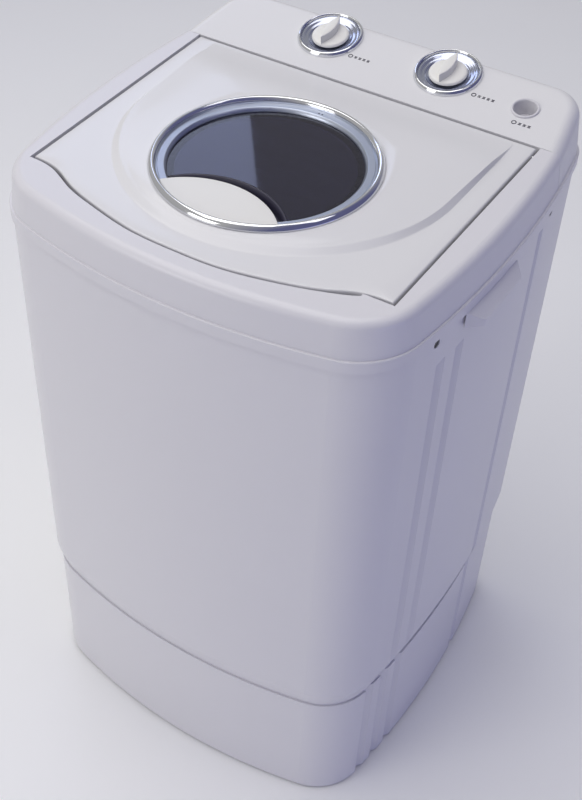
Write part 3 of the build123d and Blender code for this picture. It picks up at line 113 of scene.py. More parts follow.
class WasherSizes(bpy.types.PropertyGroup):
    """Sizes of the visible pieces."""

    lid_thickness: length(
        "Lid thickness", LID_HIGH.z - LID_LOW.z - CROWN_HEIGHT, "Depth of the lid's turned-down edge"
    )
    lid_corner: length("Lid corner", -0.1305, "Place along Y of the lid's front corners")
    crown_height: length("Crown height", CROWN_HEIGHT, "Rise of the lid's middle over its margin")
    crown_fall: bpy.props.FloatProperty(
        name="Crown fall",
        description="Share of the crown's rise lost from the ring to its edge",
        default=0.42,
    )
    crown_half: length("Crown half width", 0.150, "Half width of the lid's raised middle")
    crown_slope: length("Crown slope", 0.006, "Width of the crease round the raised middle")
    crown_front: length("Crown front", 0.150, "Reach of the raised middle's front from the machine's middle")
    front_slope: length("Front slope", 0.011, "Width of the crease across the raised middle's front")
    lid_skin: length("Lid skin", 0.0028, "Wall of the lid")
    lid_edge: length("Lid edge", 0.0016, "Rounding of the lid's top edge")
    boss_length: length("Hinge boss length", 0.0125, "Length of a boss along the hinge")
    boss_wall: length("Hinge boss wall", 0.0022, "Wall of a boss round its pin")
    boss_inset: length("Hinge boss inset", 0.003, "Distance of a boss from the lid's side")
    trim_height: length("Trim height", 0.005, "Height of the chrome window ring over the lid")
    trim_inner: length("Trim inner radius", 0.0887, "Inner radius of the chrome window ring")
    trim_neck: length("Trim neck radius", 0.091, "Outer radius of the ring's neck in the lid")
    bezel_inner: length("Bezel inner radius", 0.0797, "Inner radius of the window's bezel")
    bezel_height: length("Bezel height", 0.0042, "Height of the bezel over the window")
    grip_radius: length("Grip radius", 0.0735, "Radius of the finger grip's back edge")
    grip_apex: length("Grip apex", 0.0424, "Distance of the grip's back edge in front of the window's centre")
    pocket_reach: length("Pocket reach", 0.013, "Reach of the finger pocket behind the grip")
    pocket_wall: length("Pocket wall", 0.0016, "Wall of the finger pocket")
    dial_outer: length("Dial ring outer radius", 0.030, "Outer radius of a dial's ring")
    dial_inner: length("Dial ring inner radius", 0.0262, "Inner radius of a dial's ring")
    dial_height: length("Dial ring height", 0.004, "Height of a dial's ring over the panel")
    dial_depth: length("Dial cup depth", 0.003, "Depth of a dial's cup under the panel's face")
    cup_floor: length("Dial cup floor radius", 0.019, "Radius of a dial cup's floor")
    cup_mouth: length("Dial cup mouth radius", 0.0231, "Radius of the step at a dial cup's mouth")
    cup_bore: length("Dial cup bore", 0.0052, "Radius of the hole in a dial cup's floor")
    cup_wall: length("Dial cup wall", 0.0014, "Thickness of a dial cup's floor")
    cup_base: length("Dial cup base", 0.0015, "Height of a dial cup's floor over its depth")
    knob_gap: length("Knob gap", 0.001, "Gap between a knob and its cup's floor")
    knob_radius: length("Knob radius", 0.0167, "Radius of a knob's disc")
    knob_top: length("Knob top", 0.003, "Height of a knob's disc over the panel's face")
    blade_tip: length("Blade tip", 0.017, "Reach of a knob's pointer blade from its middle")
    blade_half: length("Blade half width", 0.0045, "Half width of a knob's pointer blade")
    blade_rise: length("Blade rise", 0.008, "Height of a knob's pointer blade over its disc")
    inlet_outer: length("Inlet flange radius", 0.0122, "Radius of the fill inlet's flange")
    inlet_bore: length("Inlet bore radius", 0.005, "Radius of the fill inlet's bore")
    inlet_depth: length("Inlet depth", 0.016, "Depth of the fill inlet's funnel")
    inlet_spigot: length("Inlet spigot", 0.014, "Length of the fill inlet's spigot under its funnel")
    mark_rise: length("Mark thickness", 0.00025, "Thickness of the printed marks")


class WasherColours(bpy.types.PropertyGroup):
    """Colours of the finishes."""

    shell: colour("Shell", (0.70, 0.69, 0.73), "Cabinet, base and deck")
    lid: colour("Lid", (0.73, 0.725, 0.745), "Lid skin and control panel")
    chrome: colour("Chrome", (0.80, 0.81, 0.84), "Window and dial rings")
    bezel: colour("Bezel", (0.50, 0.54, 0.64), "Silvered ring round the window")
    glass: colour("Window", (0.16, 0.15, 0.30), "Tinted window")
    grip: colour("Grip", (0.78, 0.77, 0.75), "Finger grip and knobs")
    cup: colour("Dial cup", (0.56, 0.59, 0.72), "Plated dial cups")
    mark: colour("Mark", (0.035, 0.035, 0.06), "Printed marks")
    stage: colour("Floor", (0.97, 0.97, 0.975), "Studio floor")
    sky: colour("Studio light", (1.0, 0.99, 0.98), "Soft overhead light")
    shade: colour("Studio shade", (0.27, 0.28, 0.54), "Cooler surround on the right")
    fill: colour("Studio fill", (0.24, 0.27, 1.0), "Cool low light on the right")
    pane: colour("Window light", (0.58, 0.68, 1.0), "Soft light that the window mirrors")


# ---------------------------------------------------------------- material helpers


def new_finish(name):
    """Empty node material with its shader and a texture coordinate."""
    material = bpy.data.materials.new(name)
    material.use_nodes = True
    nodes = material.node_tree.nodes
    nodes.clear()
    output = nodes.new("ShaderNodeOutputMaterial")
    shader = nodes.new("ShaderNodeBsdfPrincipled")
    place = nodes.new("ShaderNodeTexCoord")
    material.node_tree.links.new(shader.outputs["BSDF"], output.inputs["Surface"])
    return material, shader, place.outputs["Object"]


def add_noise(material, vector, scale, detail=2.0, stretch=(1.0, 1.0, 1.0)):
    """Noise in object space, stretched along the axes; gives its factor."""
    nodes = material.node_tree.nodes
    links = material.node_tree.links
    mapping = nodes.new("ShaderNodeMapping")
    mapping.inputs["Scale"].default_value = stretch
    noise = nodes.new("ShaderNodeTexNoise")
    noise.inputs["Scale"].default_value = scale
    noise.inputs["Detail"].default_value = detail
    links.new(vector, mapping.inputs["Vector"])
    links.new(mapping.outputs["Vector"], noise.inputs["Vector"])
    return noise.outputs["Fac"]


def remap(material, value, low, high):
    """Spread the middle of a noise over a range."""
    node = material.node_tree.nodes.new("ShaderNodeMapRange")
    node.inputs["From Min"].default_value = 0.3
    node.inputs["From Max"].default_value = 0.7
    node.inputs["To Min"].default_value = low
    node.inputs["To Max"].default_value = high
    material.node_tree.links.new(value, node.inputs["Value"])
    return node.outputs["Result"]


def blend_colours(material, factor, first, second):
    """Colour between two, by a factor."""
    node = material.node_tree.nodes.new("ShaderNodeMix")
    node.data_type = "RGBA"
    node.inputs["A"].default_value = (*first, 1.0)
    node.inputs["B"].default_value = (*second, 1.0)
    material.node_tree.links.new(factor, node.inputs["Factor"])
    return node.outputs["Result"]


def add_bump(material, shader, height, strength, distance):
    """Surface relief from a height."""
    node = material.node_tree.nodes.new("ShaderNodeBump")
    node.inputs["Strength"].default_value = strength
    node.inputs["Distance"].default_value = distance
    material.node_tree.links.new(height, node.inputs["Height"])
    material.node_tree.links.new(node.outputs["Normal"], shader.inputs["Normal"])


def shade_of(value, factor):
    """Colour made lighter or darker by a factor."""
    return tuple(min(1.0, channel * factor) for channel in value)


def moulded(name, tint, rough=0.3, coat=0.0, grain=900.0, relief=0.00005, mottling=0.012):
    """Moulded plastic: fine orange-peel relief, faint mottling and uneven gloss."""
    material, shader, place = new_finish(name)
    links = material.node_tree.links
    patches = add_noise(material, place, 6.0, 1.0)
    darker = shade_of(tint, 1.0 - mottling)
    lighter = shade_of(tint, 1.0 + mottling / 2)
    links.new(blend_colours(material, patches, darker, lighter), shader.inputs["Base Color"])
    gloss = add_noise(material, place, 26.0, 1.0)
    links.new(remap(material, gloss, rough * 0.985, rough * 1.015), shader.inputs["Roughness"])
    shader.inputs["Coat Weight"].default_value = coat
    shader.inputs["Coat Roughness"].default_value = 0.08
    shader.inputs["IOR"].default_value = 1.49
    add_bump(material, shader, add_noise(material, place, grain, 2.0), 0.35, relief)
    return material


def plated(name, tint, rough=0.09, brush=(1.0, 1.0, 1.0), relief=0.00002):
    """Bright plating: fine directional scratches and a faint haze."""
    material, shader, place = new_finish(name)
    links = material.node_tree.links
    haze = add_noise(material, place, 60.0, 3.0)
    links.new(blend_colours(material, haze, shade_of(tint, 0.97), tint), shader.inputs["Base Color"])
    scratches = add_noise(material, place, 420.0, 5.0, brush)
    links.new(remap(material, scratches, rough * 0.88, rough * 1.15), shader.inputs["Roughness"])
    shader.inputs["Metallic"].default_value = 1.0
    add_bump(material, shader, scratches, 0.2, relief)
    return material


def machined(name, tint, rough=0.32, metallic=1.0):
    """Turned or rolled metal: close lines, stains and dulled patches."""
    material, shader, place = new_finish(name)
    links = material.node_tree.links
    stains = add_noise(material, place, 45.0, 6.0)
    shades = blend_colours(material, stains, shade_of(tint, 0.72), shade_of(tint, 1.1))
    links.new(shades, shader.inputs["Base Color"])
    lines = add_noise(material, place, 260.0, 4.0, (0.15, 0.15, 6.0))
    links.new(remap(material, lines, rough * 0.7, rough * 1.3), shader.inputs["Roughness"])
    shader.inputs["Metallic"].default_value = metallic
    add_bump(material, shader, lines, 0.25, 0.00005)
    return material


def rubbery(name, tint, rough=0.7):
    """Rubber: matt, dusty and finely pitted."""
    material, shader, place = new_finish(name)
    links = material.node_tree.links
    dust = add_noise(material, place, 70.0, 6.0)
    links.new(blend_colours(material, dust, tint, shade_of(tint, 1.6)), shader.inputs["Base Color"])
    links.new(remap(material, dust, rough * 0.9, min(1.0, rough * 1.2)), shader.inputs["Roughness"])
    add_bump(material, shader, add_noise(material, place, 1500.0, 3.0), 0.4, 0.0001)
    return material


def spangled(name, tint):
    """Galvanised sheet: crystal patches of different brightness."""
    material, shader, place = new_finish(name)
    nodes = material.node_tree.nodes
    links = material.node_tree.links
    crystals = nodes.new("ShaderNodeTexVoronoi")
    crystals.inputs["Scale"].default_value = 130.0
    links.new(place, crystals.inputs["Vector"])
    grey = nodes.new("ShaderNodeSeparateColor")
    links.new(crystals.outputs["Color"], grey.inputs["Color"])
    shades = blend_colours(material, grey.outputs["Red"], shade_of(tint, 0.75), shade_of(tint, 1.15))
    links.new(shades, shader.inputs["Base Color"])
    links.new(remap(material, grey.outputs["Green"], 0.3, 0.5), shader.inputs["Roughness"])
    shader.inputs["Metallic"].default_value = 0.9
    add_bump(material, shader, grey.outputs["Blue"], 0.1, 0.00005)
    return material


def tinted(name, tint):
    """Clear tinted plastic window with faint moulding waves and light wipe marks."""
    material, shader, place = new_finish(name)
    links = material.node_tree.links
    streaks = add_noise(material, place, 30.0, 5.0, (1.0, 5.0, 1.0))
    shades = blend_colours(material, streaks, shade_of(tint, 0.9), shade_of(tint, 1.1))
    links.new(shades, shader.inputs["Base Color"])
    links.new(remap(material, streaks, 0.015, 0.05), shader.inputs["Roughness"])
    shader.inputs["Transmission Weight"].default_value = 0.93
    shader.inputs["IOR"].default_value = 1.49
    add_bump(material, shader, add_noise(material, place, 14.0, 1.0), 0.05, 0.0004)
    return material


def turned_plating(name, tint):
    """Plated dial cup with rings turned about each dial's middle."""
    material, shader, place = new_finish(name)
    nodes = material.node_tree.nodes
    links = material.node_tree.links
    split = nodes.new("ShaderNodeSeparateXYZ")
    links.new(place, split.inputs["Vector"])
    side = nodes.new("ShaderNodeMath")
    side.operation = "ABSOLUTE"
    links.new(split.outputs["X"], side.inputs[0])
    joined = nodes.new("ShaderNodeCombineXYZ")
    links.new(side.outputs["Value"], joined.inputs["X"])
    links.new(split.outputs["Y"], joined.inputs["Y"])
    centre = nodes.new("ShaderNodeMapping")
    centre.inputs["Location"].default_value = (-DRAIN_AT.x, -DRAIN_AT.y, 0.0)
    links.new(joined.outputs["Vector"], centre.inputs["Vector"])
    rings = nodes.new("ShaderNodeTexWave")
    rings.wave_type = "RINGS"
    rings.rings_direction = "Z"
    rings.inputs["Scale"].default_value = 260.0
    rings.inputs["Distortion"].default_value = 0.4
    links.new(centre.outputs["Vector"], rings.inputs["Vector"])
    shades = blend_colours(material, rings.outputs["Fac"], shade_of(tint, 0.8), tint)
    links.new(shades, shader.inputs["Base Color"])
    links.new(remap(material, rings.outputs["Fac"], 0.10, 0.18), shader.inputs["Roughness"])
    shader.inputs["Metallic"].default_value = 1.0
    add_bump(material, shader, rings.outputs["Fac"], 0.12, 0.00006)
    return material


FINISHES = {}


def make_finishes():
    """One material for each slot of the record, and one for the printed marks."""
    tints = bpy.context.scene.washer_colours
    shell, lid, grip = tuple(tints.shell), tuple(tints.lid), tuple(tints.grip)
    finishes = {
        "white_shell": moulded("white_shell", shell, 0.34, 0.15),
        "panel_shell": moulded("panel_shell", lid, 0.32, 0.15),
        "lid_skin": moulded("lid_skin", lid, 0.28, 0.25),
        "chrome_trim": plated("chrome_trim", tuple(tints.chrome)),
        "bezel_silver": plated("bezel_silver", tuple(tints.bezel), 0.34, relief=0.000003),
        "tinted_window": tinted("tinted_window", tuple(tints.glass)),
        "grip_white": moulded("grip_white", grip, 0.36, 0.1),
        # near-black finish of the finger pocket under the grip: painted shade standing in for the shade
        # inside that recess
        "pocket_dark": moulded("pocket_dark", (0.035, 0.032, 0.06), 0.4, 0.0, 1400.0, 0.0001),
        "dial_silver": turned_plating("dial_silver", tuple(tints.cup)),
        "knob_white": moulded("knob_white", grip, 0.36, 0.1),
        "inlet_white": moulded("inlet_white", shade_of(shell, 0.92), 0.3),
        "tub_white": moulded("tub_white", (0.52, 0.55, 0.62), 0.25, 0.2),
        "pulsator_blue": moulded("pulsator_blue", (0.14, 0.21, 0.40), 0.25, 0.3),
        "grey_rubber": rubbery("grey_rubber", (0.045, 0.045, 0.05)),
        "filter_blue": moulded("filter_blue", (0.13, 0.20, 0.36), 0.45, 0.0, 1400.0, 0.0001),
        "inner_plastic": moulded("inner_plastic", (0.42, 0.42, 0.42), 0.45, 0.0, 700.0, 0.0001),
        "black_plastic": moulded("black_plastic", (0.02, 0.02, 0.022), 0.4, 0.0, 1400.0, 0.0001),
        "zinc_steel": machined("zinc_steel", (0.56, 0.55, 0.50), 0.3),
        "dark_screw": machined("dark_screw", (0.03, 0.03, 0.035), 0.4, 0.7),
        "galvanised": spangled("galvanised", (0.46, 0.48, 0.50)),
        "shaft_steel": machined("shaft_steel", (0.58, 0.58, 0.60), 0.2),
        "bronze": machined("bronze", (0.50, 0.30, 0.12), 0.35),
        "pulley_alloy": machined("pulley_alloy", (0.52, 0.53, 0.55), 0.42),
        "motor_paint": moulded("motor_paint", (0.035, 0.04, 0.05), 0.35, 0.3, 500.0, 0.0002),
        "stator_iron": machined("stator_iron", (0.20, 0.13, 0.08), 0.5, 0.6),
        "hose_grey": rubbery("hose_grey", (0.20, 0.21, 0.23), 0.55),
        "gland_black": rubbery("gland_black", (0.02, 0.02, 0.02), 0.6),
        "print": moulded("print", tuple(tints.mark), 0.5),
    }
    FINISHES.clear()
    FINISHES.update(finishes)


# ---------------------------------------------------------------- mesh helpers


def on_panel(at):
    """Matrix that puts a shape built about the origin on the tilted panel."""
    side = Vector((1.0, 0.0, 0.0))
    back = PANEL_UP.cross(side)
    axes = Matrix((side, back, PANEL_UP)).transposed().to_4x4()
    return Matrix.Translation(at) @ axes


def turned(bm, profile, place, steps=128, closed=True):
    """Turn a profile of (radius, height) points about the Z axis and put it in place."""
    before = set(bm.verts)
    verts = [bm.verts.new((radius, 0.0, height)) for radius, height in profile]
    pairs = list(zip(verts, verts[1:]))
    if closed:
        pairs.append((verts[-1], verts[0]))
    edges = [bm.edges.new(pair) for pair in pairs]
    bmesh.ops.spin(
        bm, geom=verts + edges, cent=(0, 0, 0), axis=(0, 0, 1), angle=2 * math.pi, steps=steps, use_merge=True
    )
    fresh = [vert for vert in bm.verts if vert not in before]
    bmesh.ops.remove_doubles(bm, verts=fresh, dist=1e-6)
    fresh = [vert for vert in bm.verts if vert not in before]
    bmesh.ops.transform(bm, matrix=place, verts=fresh)


def sweep_vert(bm, vert, centre, angle, steps):
    """Carry a vertex round an arc about an upright axis; gives the last vertex."""
    result = bmesh.ops.spin(
        bm, geom=[vert], cent=(*centre, vert.co.z), axis=(0, 0, 1), angle=angle, steps=steps, use_merge=False
    )
    return [item for item in result["geom_last"] if isinstance(item, bmesh.types.BMVert)][0]


def two_arc_outline(bm, first, second, height, steps=48):
    """Face between two arcs that meet: each arc is (centre y, radius, front or back side)."""
    (y1, r1, side1), (y2, r2, side2) = first, second
    gap = abs(y2 - y1)
    along = (r1**2 - r2**2 + gap**2) / (2 * gap)
    half = math.sqrt(r1**2 - along**2)
    toward = 1.0 if y2 > y1 else -1.0
    meet_y = y1 + toward * along
    start = bm.verts.new((half, meet_y, height))
    last = start
    for y, radius, side in ((y1, r1, side1), (y2, r2, side2)):
        here = math.atan2(meet_y - y, last.co.x)
        there = math.atan2(meet_y - y, -last.co.x)
        sweep = (there - here) % (2 * math.pi)
        middle_angle = here + sweep / 2
        if math.copysign(1.0, math.sin(middle_angle)) != side:
            sweep -= 2 * math.pi
        last = sweep_vert(bm, last, (0.0, y), sweep, steps)
    bmesh.ops.remove_doubles(bm, verts=bm.verts[:], dist=1e-6)
    return bmesh.ops.contextual_create(bm, geom=bm.edges[:])["faces"][0]


def raise_face(bm, face, height):
    """Extrude a face straight up or down; gives the far face."""
    result = bmesh.ops.extrude_face_region(bm, geom=[face])
    verts = [item for item in result["geom"] if isinstance(item, bmesh.types.BMVert)]
    bmesh.ops.translate(bm, verts=verts, vec=(0.0, 0.0, height))
    return [item for item in result["geom"] if isinstance(item, bmesh.types.BMFace)][0]


def crest(bm, face, steps):
    """Build a face up in steps of (inset, rise) that round its edge."""
    for inset, rise in steps:
        face = raise_face(bm, face, rise)
        middle_at = face.calc_center_bounds()
        reach_x = max(abs(vert.co.x - middle_at.x) for vert in face.verts)
        reach_y = max(abs(vert.co.y - middle_at.y) for vert in face.verts)
        shrink = (1.0 - inset / reach_x, 1.0 - inset / reach_y, 1.0)
        bmesh.ops.scale(bm, verts=face.verts[:], vec=shrink, space=Matrix.Translation(-middle_at))


def round_edges(bm, edges, radius, segments=3):
    """Round edges with the editor's usual settings."""
    bmesh.ops.bevel(
        bm, geom=edges, offset=radius, offset_type="OFFSET", segments=segments, profile=0.5, affect="EDGES",
        clamp_overlap=True, material=-1,
    )


def make_piece(bm, name, body, slot, nodes=(), bevel=0.0, wall=0.0, sharp=38.0, mend=True, finish=None):
    """Turn a bmesh into a piece that rides on a body, in its slot's finish unless another is named."""
    bmesh.ops.remove_doubles(bm, verts=bm.verts[:], dist=1e-6)
    if mend:
        bmesh.ops.recalc_face_normals(bm, faces=bm.faces[:])
    mesh = bpy.data.meshes.new(name)
    bm.to_mesh(mesh)
    bm.free()
    piece = bpy.data.objects.new(name, mesh)
    bpy.context.scene.collection.objects.link(piece)
    mesh.materials.append(FINISHES[finish or slot])
    mesh.polygons.foreach_set("use_smooth", [True] * len(mesh.polygons))
    mesh.set_sharp_from_angle(angle=math.radians(sharp))
    if wall:
        solid = piece.modifiers.new("wall", "SOLIDIFY")
        solid.thickness = wall
        solid.offset = -1.0
    if bevel:
        rounding = piece.modifiers.new("rounding", "BEVEL")
        rounding.width = bevel
        rounding.segments = 3
        rounding.limit_method = "ANGLE"
        rounding.angle_limit = math.radians(sharp)
        rounding.harden_normals = True
    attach(piece, body)
    if nodes:
        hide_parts(*nodes)
    return piece


# ---------------------------------------------------------------- lid shapes


def lid_edge_outline(spacing=0.006):
    """Plan points of the lid's edge: straight back and sides, front that swells forward."""
    half = LID_HIGH.x
    back = LID_HIGH.y
    corner = bpy.context.scene.washer_sizes.lid_corner
    swell = corner - LID_LOW.y
    lead = Vector((half * 0.05, 0.0))
    shares = ((-1.0, 0.0), (-0.85, 0.08), (-0.69, 0.43), (-0.52, 0.68), (-0.25, 0.95), (0.0, 1.0))
    left = [Vector((half * x, corner - swell * drop)) for x, drop in shares]
    knots = left + [Vector((-point.x, point.y)) for point in reversed(left[:-1])]
    front = []
    for index in range(len(knots) - 1):
        before = knots[max(index - 1, 0)]
        after = knots[min(index + 2, len(knots) - 1)]
        start, end = knots[index], knots[index + 1]
        rise_in = (end - before) / 6 if index else lead
        rise_out = (after - start) / 6 if index < len(knots) - 2 else lead
        front += interpolate_bezier(start, start + rise_in, end - rise_out, end, 8)[:-1]
    corners = [knots[-1], Vector((half, back)), Vector((-half, back)), knots[0]]
    sides = []
    for start, end in zip(corners, corners[1:]):
        count = max(2, round((end - start).length / spacing))
        sides += [start.lerp(end, step / count) for step in range(count)]
    return [Vector((point.x, point.y)) for point in front + sides]


def crown_reach(direction, half, front, widening):
    """Distance from the window's centre to the edge of the lid's raised middle."""
    low, high = 0.05, 0.4
    for _ in range(30):
        reach = (low + high) / 2
        x = abs(direction.x * reach)
        y = WINDOW.y + direction.y * reach
        inside = (x / half) ** 2 + (y / front) ** 2 < 1.0 if y < 0 else x < half + widening * y / LID_HIGH.y
        low, high = (reach, high) if inside else (low, reach)
    return low


def ease(share):
    """Smooth step from 0 to 1."""
    share = min(1.0, max(0.0, share))
    return share * share * (3.0 - 2.0 * share)


def crown_rise(y, height):
    """Rise of the raised middle, which runs out to nothing at the hinge side."""
    behind_ring = WINDOW.y + RING_HIGH.x + 0.002
    return height * ease((LID_HIGH.y - y) / (LID_HIGH.y - behind_ring))


def make_lid_skin():
    """Lid skin in rings of faces from the window's hole out to the turned-down edge."""
    sizes = bpy.context.scene.washer_sizes
    margin = LID_LOW.z + sizes.lid_thickness
    edge = sorted(lid_edge_outline(), key=lambda point: math.atan2(point.y - WINDOW.y, point.x))
    rays = [point - WINDOW.xy for point in edge]
    outs = [ray.length for ray in rays]
    rays = [ray.normalized() for ray in rays]
    least_margin = 0.004
    least_slope = 0.002
    feet = []
    tops = []
    for ray, out in zip(rays, outs):
        foot = min(crown_reach(ray, sizes.crown_half, sizes.crown_front, 0.0), out - least_margin)
        inner_half = sizes.crown_half - sizes.crown_slope
        top = crown_reach(ray, inner_half, sizes.crown_front - sizes.front_slope, sizes.crown_slope)
        feet.append(foot)
        tops.append(min(top, foot - least_slope))

    def place(radius_of, height_of):
        """Ring of vertex places: a radius and a height for each direction."""
        points = []
        for index, ray in enumerate(rays):
            radius = radius_of(index)
            flat = WINDOW.xy + ray * radius
            points.append(Vector((flat.x, flat.y, height_of(index, flat.y))))
        return points

    def plateau(share):
        """Height over the raised middle, at a share of the way from the ring to its edge."""
        left = 1.0 - sizes.crown_fall * share**2
        return lambda index, y: margin + crown_rise(y, sizes.crown_height) * left

    loops = []
    crown_steps = 6
    for step in range(crown_steps + 1):
        share = step / crown_steps
        loops.append(place(lambda i: sizes.trim_neck + (tops[i] - sizes.trim_neck) * share, plateau(share)))
    slope_steps = 8
    crisp_lead = 0.12
    for step in range(1, slope_steps + 1):
        share = step / slope_steps
        fall_soft = 1.0 - ease(share)
        fall_crisp = 1.0 - min(1.0, max(0.0, (share - crisp_lead) / (1.0 - 2 * crisp_lead)))

        def slope(index, y):
            """Height down the crease, softer towards the front."""
            soft = max(0.0, -rays[index].y) ** 4
            fall = fall_soft * soft + fall_crisp * (1.0 - soft)
            return margin + crown_rise(y, sizes.crown_height) * (1.0 - sizes.crown_fall) * fall

        loops.append(place(lambda i: tops[i] + (feet[i] - tops[i]) * share, slope))
    for share in (0.3, 0.65):
        loops.append(
            place(lambda i: feet[i] + (outs[i] - sizes.lid_edge - feet[i]) * share, lambda i, y: margin)
        )
    edge_steps = 4
    for step in range(edge_steps + 1):
        angle = math.radians(90 * step / edge_steps)
        inward = sizes.lid_edge * (1.0 - math.sin(angle))
        drop = sizes.lid_edge * (1.0 - math.cos(angle))
        loops.append(place(lambda i: outs[i] - inward, lambda i, y: margin - drop))
    loops.append(place(lambda i: outs[i], lambda i, y: LID_LOW.z))

    bm = bmesh.new()
    bmesh.ops.create_circle(bm, segments=len(rays), radius=sizes.trim_neck, cap_ends=False)
    ring = sorted(bm.verts, key=lambda vert: math.atan2(vert.co.y, vert.co.x))
    for vert, point in zip(ring, loops[0]):
        vert.co = point
    edges = bm.edges[:]
    for points in loops[1:]:
        result = bmesh.ops.extrude_edge_only(bm, edges=edges)
        edges = [item for item in result["geom"] if isinstance(item, bmesh.types.BMEdge) and item.is_boundary]
        fresh = [item for item in result["geom"] if isinstance(item, bmesh.types.BMVert)]
        fresh.sort(key=lambda vert: math.atan2(vert.co.y - WINDOW.y, vert.co.x))
        for vert, point in zip(fresh, points):
            vert.co = point
    if sum(face.normal.z for face in bm.faces) < 0:
        bmesh.ops.reverse_faces(bm, faces=bm.faces[:])
    make_piece(bm, "lid_skin_panel", "lid", "lid_skin", ("lid_panel",), wall=sizes.lid_skin, mend=False)


def make_hinge_bosses():
    """Bosses under the lid's back corners that grip the hinge pins."""
    sizes = bpy.context.scene.washer_sizes
    pins_low, pins_high = (Vector(corner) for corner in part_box("lid_hinge_pins"))
    axis = joint_place("lid_hinge")
    half = sizes.boss_length / 2
    inner = (pins_high.z - pins_low.z) / 2
    outer = inner + sizes.boss_wall
    profile = [(inner, -half), (outer, -half), (outer, half), (inner, half)]
    bm = bmesh.new()
    for side in (-1, 1):
        at = Vector((side * (LID_HIGH.x - sizes.boss_inset - half), axis.y, axis.z))
        turned(bm, profile, Matrix.Translation(at) @ Matrix.Rotation(math.pi / 2, 4, "Y"), 32)
    make_piece(bm, "lid_pin_bosses", "lid", "lid_skin", bevel=0.0004)


# ---------------------------------------------------------------- window


def make_trim_ring():
    """Chrome ring: rolled outer lip, narrow crown and a neck down through the lid."""
    sizes = bpy.context.scene.washer_sizes
    outer = RING_HIGH.x
    neck = sizes.trim_neck - TRIM_SEAM
    top = RING_HIGH.z
    base = top - sizes.trim_height
    bm = bmesh.new()
    profile = [
        (sizes.trim_inner, RING_LOW.z),
        (neck, RING_LOW.z),
        (neck, base),
        (outer, base),
        (outer, base + 0.0012),
        (outer - 0.0008, base + 0.0026),
        (outer - 0.0021, top - 0.0007),
        (outer - 0.0034, top),
        (outer - 0.0048, top - 0.0003),
        (sizes.trim_inner + 0.0004, top - 0.0018),
        (sizes.trim_inner, top - 0.0032),
    ]
    turned(bm, profile, Matrix.Translation(WINDOW), 192)
    make_piece(bm, "window_trim_ring", "lid", "chrome_trim", ("lid_trim_ring",), bevel=0.0004, sharp=30.0)


def grip_circle():
    """Centre and radius of the grip's back edge."""
    sizes = bpy.context.scene.washer_sizes
    return WINDOW.y - sizes.grip_apex - sizes.grip_radius, sizes.grip_radius


def make_bezel():
    """Silvered ring between the trim and the window, open where the grip crosses it."""
    sizes = bpy.context.scene.washer_sizes
    bottom = GLASS_HIGH.z
    outer = sizes.trim_inner - BEZEL_SEAM
    inner = sizes.bezel_inner
    top = bottom + sizes.bezel_height
    centre_y, radius = grip_circle()
    gap = WINDOW.y - centre_y
    along = (outer**2 - radius**2 + gap**2) / (2 * gap)
    behind_grip = math.radians(3.0)
    tip = math.acos(along / outer) - behind_grip
    profile = [
        (outer, bottom),
        (outer, top - 0.0006),
        (outer - 0.0011, top - 0.0006),
        (outer - 0.0013, top),
        (inner + 0.0022, top - 0.0003),
        (inner + 0.0006, top - 0.0018),
        (inner, top - 0.0036),
        (inner, bottom),
    ]
    bm = bmesh.new()
    start = -math.pi / 2 + tip
    sweep = 2 * math.pi - 2 * tip
    verts = [bm.verts.new((r * math.cos(start), r * math.sin(start), z)) for r, z in profile]
    edges = [bm.edges.new(pair) for pair in zip(verts, verts[1:] + verts[:1])]
    face = bm.faces.new(verts)
    bmesh.ops.spin(
        bm,
        geom=[face] + edges + verts,
        cent=(0, 0, 0),
        axis=(0, 0, 1),
        angle=sweep,
        steps=150,
        use_merge=False,
    )
    bmesh.ops.translate(bm, verts=bm.verts[:], vec=WINDOW)
    make_piece(bm, "window_bezel", "lid", "bezel_silver", ("lid_bezel",), bevel=0.00025, sharp=30.0)
    for side in (-1, 1):
        dot = bmesh.new()
        at = Vector((side * 0.0016, WINDOW.y + (inner + outer) / 2, top - 0.0002))
        dome = [(0.0, 0.0004), (0.0005, 0.0003), (0.0008, 0.0), (0.0, -0.0002)]
        turned(dot, dome, Matrix.Translation(at), 16, closed=False)
        make_piece(dot, "bezel_pip_" + ("left" if side < 0 else "right"), "lid", "pocket_dark")


def make_glass():
    """Tinted window with its front edge cut to the finger pocket."""
    sizes = bpy.context.scene.washer_sizes
    grip_y, radius = grip_circle()
    pocket_y = grip_y + sizes.pocket_reach
    bm = bmesh.new()
    back = (WINDOW.y, GLASS_HIGH.x, 1.0)
    front = (pocket_y, radius, 1.0)
    face = two_arc_outline(bm, back, front, GLASS_HIGH.z, 96)
    raise_face(bm, face, GLASS_LOW.z - GLASS_HIGH.z)
    make_piece(bm, "window_glass", "lid", "tinted_window", ("lid_window",), bevel=0.0005)


def make_grip():
    """Leaf-shaped finger grip, gently crowned, with a rounded edge."""
    sizes = bpy.context.scene.washer_sizes
    centre_y, radius = grip_circle()
    bm = bmesh.new()
    front = (WINDOW.y, sizes.trim_inner - GRIP_SEAM, -1.0)
    back = (centre_y, radius, 1.0)
    face = two_arc_outline(bm, front, back, GRIP_LOW.z, 72)
    top = raise_face(bm, face, GRIP_HIGH.z - GRIP_LOW.z - 0.0008)
    crest(bm, top, ((0.0002, 0.0003), (0.0004, 0.0002), (0.0008, 0.00015), (0.006, 0.0001), (0.009, 0.00005)))
    make_piece(bm, "window_grip", "lid", "grip_white", ("lid_grip",), sharp=60.0)


